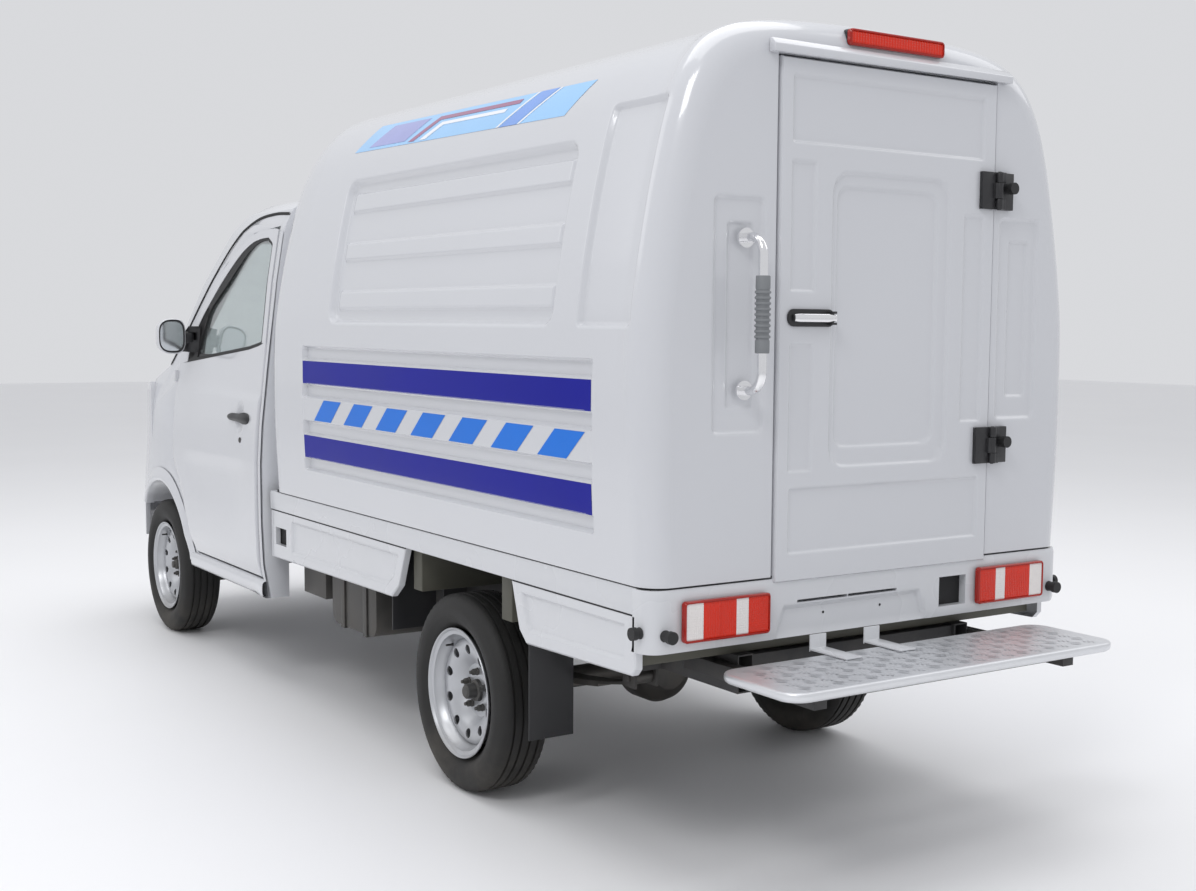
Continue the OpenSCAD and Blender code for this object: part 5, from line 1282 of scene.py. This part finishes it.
def cab_handles():
    for side, word in ((1, "left"), (-1, "right")):
        out = CAB_HALF + 0.0195
        length = 0.240
        y0 = AXLE + HANDLE_Y - 0.130

        def bar(s, t):
            round_end = math.sqrt(max(0.0, 1 - (2 * s - 1) ** 6))
            half = (0.0160 + 0.0075 * ramped(s, 0.45, 0.75)) * max(0.12, round_end)
            angle = math.pi * (t - 0.5)
            x = CAB_HALF - 0.002 + (out - CAB_HALF) * math.cos(angle) * max(0.2, round_end)
            return Vector((side * x, y0 + s * length, HANDLE_Z + half * math.sin(angle)))

        bm = draped(list(np.linspace(0, 1, 33)), list(np.linspace(0, 1, 17)), bar)
        facing(bm, lambda at: Vector((side, 0, 0)))
        bmesh.ops.contextual_create(bm, geom=[e for e in bm.edges if e.is_boundary])
        put(f"{word}_handle_bar", bm, ["black_plastic"], BODY_OF[f"{word}_door_handle"],
            [f"{word}_door_handle"], 0.9)
        bezel = turned([(0.0, 0.004), (0.008, 0.004), (0.0105, 0.0025), (0.0110, 0.0), (0.0, 0.0)],
                       (side, 0, 0),
                       Vector((side * cab_x(-1.775, 0.935, 0.011), AXLE - 1.775, 0.935)), 24)
        put(f"{word}_key_cylinder", bezel, ["dark_steel"], BODY_OF[f"{word}_cab_door"], (), 0.6)


def oval(angle, width, height, squareness=3.4):
    """A point on a rounded oblong; a higher squareness has tighter corners."""
    power = 2 / squareness
    cos, sin = math.cos(angle), math.sin(angle)
    return (math.copysign(abs(cos) ** power, cos) * width / 2,
            math.copysign(abs(sin) ** power, sin) * height / 2)


def mirrors():
    """Bulged shell, bezel and glass on a short arm."""
    around = list(np.linspace(0, 2 * math.pi, 65))
    rear, depth = AXLE - 2.392, 0.082
    for side, word in ((1, "left"), (-1, "right")):
        body = BODY_OF[f"{word}_mirror"]
        centre = Vector((side * 0.8150, 0, 1.330))

        def bowl(profile, width=0.115, height=0.148):
            def place(angle, k):
                scale, y = profile[k]
                x, z = oval(angle, width * scale, height * scale)
                narrow = 1 - 0.10 * ramped(x / width, 0.0, 0.5)
                return Vector((centre.x + side * x, y, centre.z + z * narrow))

            bm = draped(around, list(range(len(profile))), place)
            bmesh.ops.remove_doubles(bm, verts=bm.verts, dist=1e-6)
            bmesh.ops.recalc_face_normals(bm, faces=bm.faces)
            return bm

        swell = [(math.cos(math.radians(a)) ** 0.55,
                  rear - 0.012 - depth * math.sin(math.radians(a)))
                 for a in range(0, 86, 7)] + [(0.02, rear - 0.012 - depth)]
        shell = bowl([(0.90, rear - 0.006), (0.94, rear), (0.985, rear - 0.003)] + swell)
        put(f"{word}_mirror_shell", shell, ["body_paint"], body, [f"{word}_mirror"], 1.0)
        bezel = bowl([(0.93, rear - 0.003), (0.925, rear - 0.001), (0.86, rear - 0.001),
                      (0.84, rear - 0.006),
                      (0.5, rear - 0.010), (0.02, rear - 0.010)])
        put(f"{word}_mirror_bezel", bezel, ["black_plastic"], body, [f"{word}_mirror"], 0.7)
        glass = bowl([(0.835, rear - 0.007), (0.825, rear - 0.0045), (0.5, rear - 0.0035),
                      (0.02, rear - 0.0033)])
        facing(glass, lambda at: Vector((0, 1, 0)))
        put(f"{word}_mirror_glass", glass, ["mirror_glass"], body, [f"{word}_mirror"], 0.7)
        ends = sorted((side * 0.7175, side * 0.765))
        arm = rounded_box((ends[0], AXLE - 2.446, 1.296), (ends[1], AXLE - 2.404, 1.350), 0.014, 4)
        put(f"{word}_mirror_arm", arm, ["black_plastic"], body, [f"{word}_mirror"], 0.6)


def arch_lips():
    """The pressed flare round each front wheel arch and the rolled sill behind it."""
    for side, word in ((1, "left"), (-1, "right")):
        profile = [(0.3725, -0.030), (0.3725, 0.004), (0.3755, 0.010), (0.3820, 0.0135),
                   (0.3900, 0.0140), (0.4020, 0.0110),
                   (0.4180, 0.0055), (0.4340, 0.0022)]
        angles = list(np.linspace(10, 139, 60))

        def lip(a, k):
            radius, lift = profile[round(k)]
            y = WHEEL_Y + radius * math.cos(math.radians(a))
            z = 0.307 + radius * math.sin(math.radians(a))
            return nose(Vector((side * cab_x(y, max(0.40, z), lift + 0.002), AXLE + y, z)))

        bm = draped(angles, list(range(len(profile))), lip)
        facing(bm, lambda at: Vector((side, (WHEEL_Y + AXLE - at.y) * 0.2, (0.307 - at.z) * 0.2)))
        put(f"{word}_arch_lip", bm, ["body_paint"], BODY_OF["cab_shell"], (), 1.0)
        section = [(-0.012, 0.412), (0.004, 0.408), (0.0085, 0.400), (0.0100, 0.385),
                   (0.0095, 0.365), (0.0060, 0.352),
                   (-0.006, 0.3455), (-0.030, 0.3450)]

        def sill(y, k):
            lift, z = section[round(k)]
            flare = 0.010 * ramped(y, -1.72, -1.56)
            return Vector((side * (CAB_HALF - 0.012 + lift + flare), AXLE + y, z))

        bm = draped(list(np.linspace(-2.452, -1.5485, 40)), list(range(len(section))), sill)
        facing(bm, lambda at: Vector((side, 0, 0)))
        put(f"{word}_sill", bm, ["body_paint"], BODY_OF["cab_shell"], (), 1.0)
        # rear quarter pressing between the door and the cab's back edge
        def quarter_panel(s, t):
            z = 0.41 + t * (1.735 - 0.41)
            y = -1.596 + s * (1.596 - 1.549)
            lift = 0.0045 + 0.010 * ramped(s, 0.25,
                                           0.75) * (1 - 0.5 * ramped(z, 1.2, 1.6)) - quarter(
                max(0, min(s, 1 - s) * 0.047), 0.004)
            return Vector((side * cab_x(y, z, lift - 0.002), AXLE + y, z))

        bm = draped(list(np.linspace(0, 1, 14)), list(np.linspace(0, 1, 50)), quarter_panel)
        facing(bm, lambda at: Vector((side, 0, 0)))
        put(f"{word}_rear_quarter", bm, ["body_paint"], BODY_OF["cab_shell"], (), 1.0)
        # drip channel along the roof's edge: a dark seam between two small lips
        top = [tuple(q) for q in smooth_line([(-1.552, 1.800), (-1.720, 1.806), (-1.900, 1.790),
                                              (-2.060, 1.726),
                                              (-2.200, 1.640), (-2.420, 1.474), (-2.620, 1.312),
                                              (-2.760, 1.204)], 6)]

        def seam(s, t):
            y, z = top[round(s)]
            return Vector((side * cab_x(y, z, 0.0025 + 0.003 * math.sin(math.pi * t)), AXLE + y,
                           z + (t - 0.5) * 0.012))

        bm = draped(list(range(len(top))), list(np.linspace(0, 1, 5)), seam)
        facing(bm, lambda at: Vector((side, 0, 0.5)))
        put(f"{word}_roof_seam", bm, ["seam_and_shade_dark"], BODY_OF["cab_shell"], (), 1.0)


def front():
    """The rounded nose: wings, bonnet, bumper, grille and lamps."""
    for node, width in (("cab_shell", 0.004), ("bonnet", 0.003), ("front_bumper", 0.005)):
        eased(node, "body_paint", width, shape=round_nose)
    body = BODY_OF["cab_shell"]
    face = AXLE - 3.473
    # a near-black slab behind the slats: painted shade standing in for the shadowed grille opening
    back = round_nose(rounded_box((-0.40, face - 0.004, 0.700), (0.40, face + 0.006, 0.872), 0.004))
    put("grille_shade_back", back, ["seam_and_shade_dark"], body, (), 0.6)
    slats = [rounded_box((-0.385, face - 0.014, z - 0.005), (0.385, face + 0.002, z + 0.005),
                         0.0045)
             for z in (0.722, 0.754, 0.786, 0.818, 0.850)]
    put("grille_slats", round_nose(joined(*slats)), ["black_plastic"], body, (), 0.6)
    for side, word in ((1, "left"), (-1, "right")):
        bowls = []
        for x, z, r in ((0.545, 1.005, 0.045), (0.480, 1.000, 0.030)):
            bowls.append(turned([(0.004, 0.045), (r * 0.4, 0.040), (r * 0.75, 0.024),
                                 (r * 0.97, 0.002), (r, 0.0),
                                 (r * 0.97, -0.001), (r * 0.72, 0.020), (r * 0.38, 0.036),
                                 (0.004, 0.041)],
                                (0, 1, 0), Vector((side * x, AXLE - 3.425, z)), 36))
        put(f"{word}_lamp_bowls", round_nose(joined(*bowls)), ["bright_chrome"],
            BODY_OF["headlamps"], ["headlamps"], 0.7)
        ends = sorted((side * 0.640, side * 0.672))
        amber = rounded_box((ends[0], AXLE - 3.345, 0.950), (ends[1], AXLE - 3.262, 1.020), 0.008)
        put(f"{word}_turn_signal", round_nose(amber), ["lens_amber"], BODY_OF["headlamps"],
            ["headlamps"], 0.7)
    eased("headlamps", "lamp_glass", 0.008, 4, 0.6, name="headlamp_lenses", shape=round_nose)


# ------------------------------------------------------------------ seats
def stuffed(name, low, high, crown, finish="seat_cloth", seams=3):
    """A foam cushion: swollen by pressure, then given its sewn channels."""
    shrink = 0.010
    bm = rounded_box([low[i] + shrink for i in range(3)], [high[i] - shrink for i in range(3)],
                     0.030, 4)
    mesh = bpy.data.meshes.new(name)
    bm.to_mesh(mesh)
    bm.free()
    piece = bpy.data.objects.new(name, mesh)
    bpy.context.scene.collection.objects.link(piece)
    remesh = modify(piece, "REMESH", mode="VOXEL", voxel_size=0.012)
    bpy.context.view_layer.objects.active = piece
    with bpy.context.temp_override(object=piece, active_object=piece):
        bpy.ops.object.modifier_apply(modifier=remesh.name)
    rest = np.array([v.co for v in piece.data.vertices])
    cloth = modify(piece, "CLOTH")
    cloth.settings.use_pressure = True
    cloth.settings.uniform_pressure_force = 3.0
    cloth.settings.effector_weights.gravity = 0
    cloth.settings.quality = 4
    scene = bpy.context.scene
    for step_number in range(1, 15):
        scene.frame_set(step_number)
    shape = piece.evaluated_get(bpy.context.evaluated_depsgraph_get())
    swollen = np.array([v.co for v in shape.data.vertices])
    piece.modifiers.remove(cloth)
    scene.frame_set(1)
    move = swollen - rest
    reach = np.linalg.norm(move, axis=1, keepdims=True)
    move *= np.minimum(1, crown / np.maximum(reach, 1e-6))
    rest = rest + move
    rest = np.clip(rest, np.array(low) + 0.0005, np.array(high) - 0.0005)
    size = np.array(high) - np.array(low)
    thin = int(np.argmin(size[1:]) + 1)
    along = 2 if thin == 1 else 1
    middle = (np.array(low) + np.array(high)) / 2
    for i, v in enumerate(piece.data.vertices):
        point = rest[i]
        pull = 0.0
        for k in range(1, seams + 1):
            place = low[along] + size[along] * k / (seams + 1)
            pull = max(pull, math.exp(-((point[along] - place) / 0.009) ** 2))
        for x in (low[0] + size[0] * 0.2, high[0] - size[0] * 0.2):
            pull = max(pull, math.exp(-((point[0] - x) / 0.009) ** 2))
        point[thin] -= math.copysign(0.009 * pull, point[thin] - middle[thin])
        v.co = point
    piece.data.materials.append(FINISHES[finish])
    piece.data.shade_smooth()
    modify(piece, "SUBSURF", levels=1, render_levels=1)
    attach(piece, BODY_OF["seats"])
    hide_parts("seats")
    return piece


def seats():
    for side, word in ((1, "left"), (-1, "right")):
        x0, x1 = sorted((side * 0.115, side * 0.575))
        head = side * 0.345
        stuffed(f"{word}_seat_cushion",
                (x0, AXLE - 2.105, 0.722), (x1, AXLE - 1.735, 0.838), 0.012)
        stuffed(f"{word}_seat_back",
                (x0 + 0.01, AXLE - 1.752, 0.800), (x1 - 0.01, AXLE - 1.655, 1.200), 0.012)
        stuffed(f"{word}_headrest",
                (head - 0.12, AXLE - 1.735, 1.212), (head + 0.12, AXLE - 1.665, 1.300),
                0.008, "seat_cloth", 0)
        base = rounded_box((x0 + 0.015, AXLE - 2.09, 0.7003), (x1 - 0.015, AXLE - 1.74, 0.728),
                           0.006)
        put(f"{word}_seat_base", base, ["black_plastic"], BODY_OF["seats"], ["seats"], 0.6)
        posts = [turned([(0.0, 1.225), (0.006, 1.225), (0.006, 1.185), (0.0, 1.185)], (0, 0, 1),
                        Vector((side * 0.345 + d, AXLE - 1.700, 0)), 12) for d in (-0.05, 0.05)]
        put(f"{word}_headrest_posts", joined(*posts), ["bright_chrome"], BODY_OF["seats"],
            ["seats"], 0.6)


# ------------------------------------------------------------------ deck, skirts and valance
DECK_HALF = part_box("deck_platform")[1].x
RAIL_LINE = 0.694


def to_edge(y, z, outline):
    """Distance from a place inside an outline to the nearest of its sides."""
    best = 1.0
    for (y0, z0), (y1, z1) in zip(outline, outline[1:] + outline[:1]):
        dy, dz = y1 - y0, z1 - z0
        k = min(1, max(0, ((y - y0) * dy + (z - z0) * dz) / (dy * dy + dz * dz)))
        best = min(best, math.hypot(y - y0 - k * dy, z - z0 - k * dz))
    return best


def inside(y, z, outline):
    """Whether a place is within a convex outline."""
    turns = [(y1 - y0) * (z - z0) - (z1 - z0) * (y - y0)
             for (y0, z0), (y1, z1) in zip(outline, outline[1:] + outline[:1])]
    return min(turns) >= 0 or max(turns) <= 0


def pressed_skirt(name, side, outline, panel, hole=None):
    """A skirt cut to its outline, with a sunk panel and an optional square hole through it."""
    ys = [q[0] for q in outline]
    corners = sorted(set(ys + [q[0] for q in panel]))
    places = ticks(min(ys), max(ys), 0.02, corners[1:-1], 0.004, 0.016)
    levels = list(np.linspace(0, 1, 34))

    def low(y):
        under = sorted((q for q in outline if q[1] < RAIL_LINE - 0.005), key=lambda q: q[0])
        line = [(min(ys), RAIL_LINE)] * (under[0][0] > min(ys) + 1e-4) + under
        line += [(max(ys), RAIL_LINE)] * (under[-1][0] < max(ys) - 1e-4)
        return float(np.interp(y, [q[0] for q in line], [q[1] for q in line]))

    def place(y, t):
        z = low(y) + t * (RAIL_LINE - 0.004 - low(y))
        sink = 0.009 * ramped(to_edge(y, z, panel), 0.0, 0.010) if inside(y, z, panel) else 0.0
        sink += quarter(max(0, to_edge(y, z, outline)), 0.004)
        return Vector((side * (DECK_HALF + 0.001 - sink), AXLE + y, z))

    bm = draped(places, levels, place)
    bmesh.ops.remove_doubles(bm, verts=bm.verts, dist=1e-5)
    facing(bm, lambda at: Vector((side, 0, 0)))
    if hole:
        y0, y1, z0, z1 = hole
        cut_grid(bm, 1, (AXLE + y0, AXLE + y1))
        cut_grid(bm, 2, (z0, z1))
        gone = [f for f in bm.faces if AXLE + y0 < f.calc_center_median().y < AXLE + y1
                and z0 < f.calc_center_median().z < z1]
        bmesh.ops.delete(bm, geom=gone, context="FACES")
        # a near-black box just inside the hole: painted shade standing in for the shadowed space behind the
        # skirt
        dark = rounded_box((min(side * (DECK_HALF - 0.03), side * (DECK_HALF - 0.02)),
                            AXLE + y0 - 0.02, z0 - 0.02),
                           (max(side * (DECK_HALF - 0.03), side * (DECK_HALF - 0.02)),
                            AXLE + y1 + 0.02, z1 + 0.02), 0.001, 1)
        put(name + "_step_hole", dark, ["seam_and_shade_dark"], BODY_OF["side_skirts"], ["side_skirts"], 0.6)
    rimmed(bm, lambda at: Vector((-side * 0.018, 0, 0)), lambda at: Vector((side, 0, 0)))
    put(name, bm, ["deck_paint"], BODY_OF["side_skirts"], ["side_skirts"], 0.6)


FRONT_SKIRT = [(-1.512, RAIL_LINE), (-1.512, 0.513), (-0.427, 0.524), (-0.372, 0.566),
               (-0.317, RAIL_LINE)]
FRONT_PANEL = [(-1.300, 0.668), (-1.300, 0.548), (-0.455, 0.557), (-0.405, 0.590), (-0.372, 0.668)]
REAR_SKIRT = [(0.366, RAIL_LINE), (0.411, 0.563), (0.450, 0.528), (0.971, 0.542), (0.988, 0.560),
              (0.988, RAIL_LINE)]
REAR_PANEL = [(0.418, 0.668), (0.450, 0.582), (0.470, 0.562), (0.940, 0.574), (0.940, 0.668)]


def skirts():
    for side, word in ((1, "left"), (-1, "right")):
        pressed_skirt(f"front_skirt_{word}", side, FRONT_SKIRT, FRONT_PANEL,
                      (-1.458, -1.350, 0.566, 0.631))
        pressed_skirt(f"rear_skirt_{word}", side, REAR_SKIRT, REAR_PANEL)
    above = 0.6935
    eased("deck_platform", "deck_paint", 0.003, keep=lambda at: at.z > above, name="deck_rails")
    eased("deck_platform", "primer_olive", 0.003, keep=lambda at: at.z <= above,
          name="deck_underside")
    ring = outline_box(-DECK_HALF + 0.004, DECK_HALF - 0.004, FRONT + 0.02, REAR - 0.006, 0.066)
    gap = draped(list(range(len(ring) + 1)), [FLOOR - 0.0002, FLOOR + 0.006],
                 lambda k, z: Vector((*ring[k % len(ring)], z)))
    facing(gap, lambda at: Vector((at.x, at.y - 0.9, 0)))
    put("body_foot_seal", gap, ["seam_and_shade_dark"], BODY_OF["cargo_body"], (), 0.6)
    for side, word in ((1, "left"), (-1, "right")):
        x = sorted((side * (DECK_HALF - 0.010), side * (DECK_HALF - 0.002)))
        line = [rounded_box((x[0], AXLE + y0 + 0.004, RAIL_LINE - 0.006),
                            (x[1], AXLE + y1 - 0.004, RAIL_LINE + 0.0005), 0.0005, 1)
                for y0, y1 in ((-1.512, -0.317), (0.366, 0.988))]
        put(f"skirt_seam_{word}", joined(*line), ["seam_and_shade_dark"], BODY_OF["side_skirts"],
            ["side_skirts"], 0.6)


VALANCE_LOW, VALANCE_HIGH = 0.604, 0.7600
VALANCE_TURN = 0.045
POCKET = (-0.336, -0.234, 0.632, 0.714)
SLOTS = [(-0.076, 0.096, 0.6925, 0.6995), (0.098, 0.268, 0.6925, 0.6995)]
SUNK = [(-0.197, 0.600), (-0.160, 0.690), (0.312, 0.690), (0.345, 0.600)]


def valance():
    """Pressed rear valance with its sunk middle, slots and hitch pocket."""
    edges_x = [q for box in [POCKET] + SLOTS for q in box[:2]] + [q[0] for q in SUNK]
    flat = DECK_HALF - VALANCE_TURN
    us = ticks(-flat, flat, 0.02, edges_x, 0.004, 0.012)
    turn = [VALANCE_TURN * math.pi / 2 * k / 8 for k in range(1, 9)]
    us = [-flat - d for d in reversed(turn)] + us + [flat + d for d in turn]
    us = [us[0] - 0.030] + us + [us[-1] + 0.030]
    zs = ticks(VALANCE_LOW, VALANCE_HIGH, 0.012, [POCKET[2], POCKET[3], 0.6925, 0.6995], 0.0035,
               0.007)

    def place(u, z):
        x, y = u, REAR
        over = abs(u) - flat
        if over > 0:
            angle = min(math.pi / 2, over / VALANCE_TURN)
            x = math.copysign(flat + VALANCE_TURN * math.sin(angle), u)
            y = REAR - VALANCE_TURN * (1 - math.cos(angle)) - max(0, over - VALANCE_TURN * math.pi / 2)
        sink = 0.011 * ramped(to_edge(x, z, SUNK), 0.0, 0.012) if inside(x, z, SUNK) else 0.0
        sink += quarter(min(z - VALANCE_LOW, VALANCE_HIGH - z), 0.004)
        out = math.sin(min(math.pi / 2, max(0, over) / VALANCE_TURN)) * 0.0010
        return Vector((x + math.copysign(out, x), y + 0.0008 - sink, z))

    bm = draped(us, zs, place)
    facing(bm, lambda at: Vector((at.x * 0.4, 1, 0)))
    for x0, x1, z0, z1 in [POCKET] + SLOTS:
        cut_grid(bm, 0, (x0, x1))
        cut_grid(bm, 2, (z0, z1))
        middles = [(f, f.calc_center_median()) for f in bm.faces]
        gone = [f for f, middle in middles if x0 < middle.x < x1 and z0 < middle.z < z1]
        bmesh.ops.delete(bm, geom=gone, context="FACES")

    def outward(at):
        across = min(1, max(0, abs(at.x) - flat) / VALANCE_TURN)
        return Vector((math.copysign(across, at.x), math.sqrt(1 - across ** 2), 0))

    rimmed(bm, lambda at: outward(at) * -0.024, outward)
    body = BODY_OF["rear_valance"]
    put("valance_skin", bm, ["deck_paint"], body, ["rear_valance"], 0.6)
    # near-black boxes behind the hitch pocket and slots: painted shade standing in for the shadowed space
    # behind the openings
    dark = [rounded_box((x0 - 0.01, REAR - 0.034, z0 - 0.008),
                        (x1 + 0.01, REAR - 0.0245, z1 + 0.008), 0.001, 1)
            for x0, x1, z0, z1 in [POCKET] + SLOTS]
    put("valance_opening_shade", joined(*dark), ["seam_and_shade_dark"], body, ["rear_valance"], 0.6)
    # near-black discs on the surface where the screw holes are: painted shade standing in for the holes'
    # dark insides
    hole_shade_dots = [turned([(0.0, 0.0005), (0.0035, 0.0005), (0.0035, -0.004), (0.0, -0.004)], (0, 1, 0),
                   Vector((x, REAR - 0.0100, 0.657)), 16) for x in (-0.026, 0.172)]
    put("valance_screw_hole_shade", joined(*hole_shade_dots), ["seam_and_shade_dark"], body, ["rear_valance"], 0.6)
    straps_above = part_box("step_plate")[1].z - 0.001
    eased("step_brackets", "deck_paint", 0.0012, keep=lambda at: at.z > straps_above,
          name="step_straps")
    eased("step_brackets", "chassis_black", 0.003, keep=lambda at: at.z <= straps_above,
          name="step_arms")


camera()
studio()
paint_nodes()
for node, (look, width) in SOFT_EDGES.items():
    eased(node, look, width)
cargo_shell()
rear_wall()
body_lining()
rear_door()
livery()
wheels()
step()
tail_lamps()
lock()
grip()
for side, word in ((1, "left"), (-1, "right")):
    cab_door(side, word)
skirts()
valance()
cab_handles()
mirrors()
arch_lips()
front()
seats()
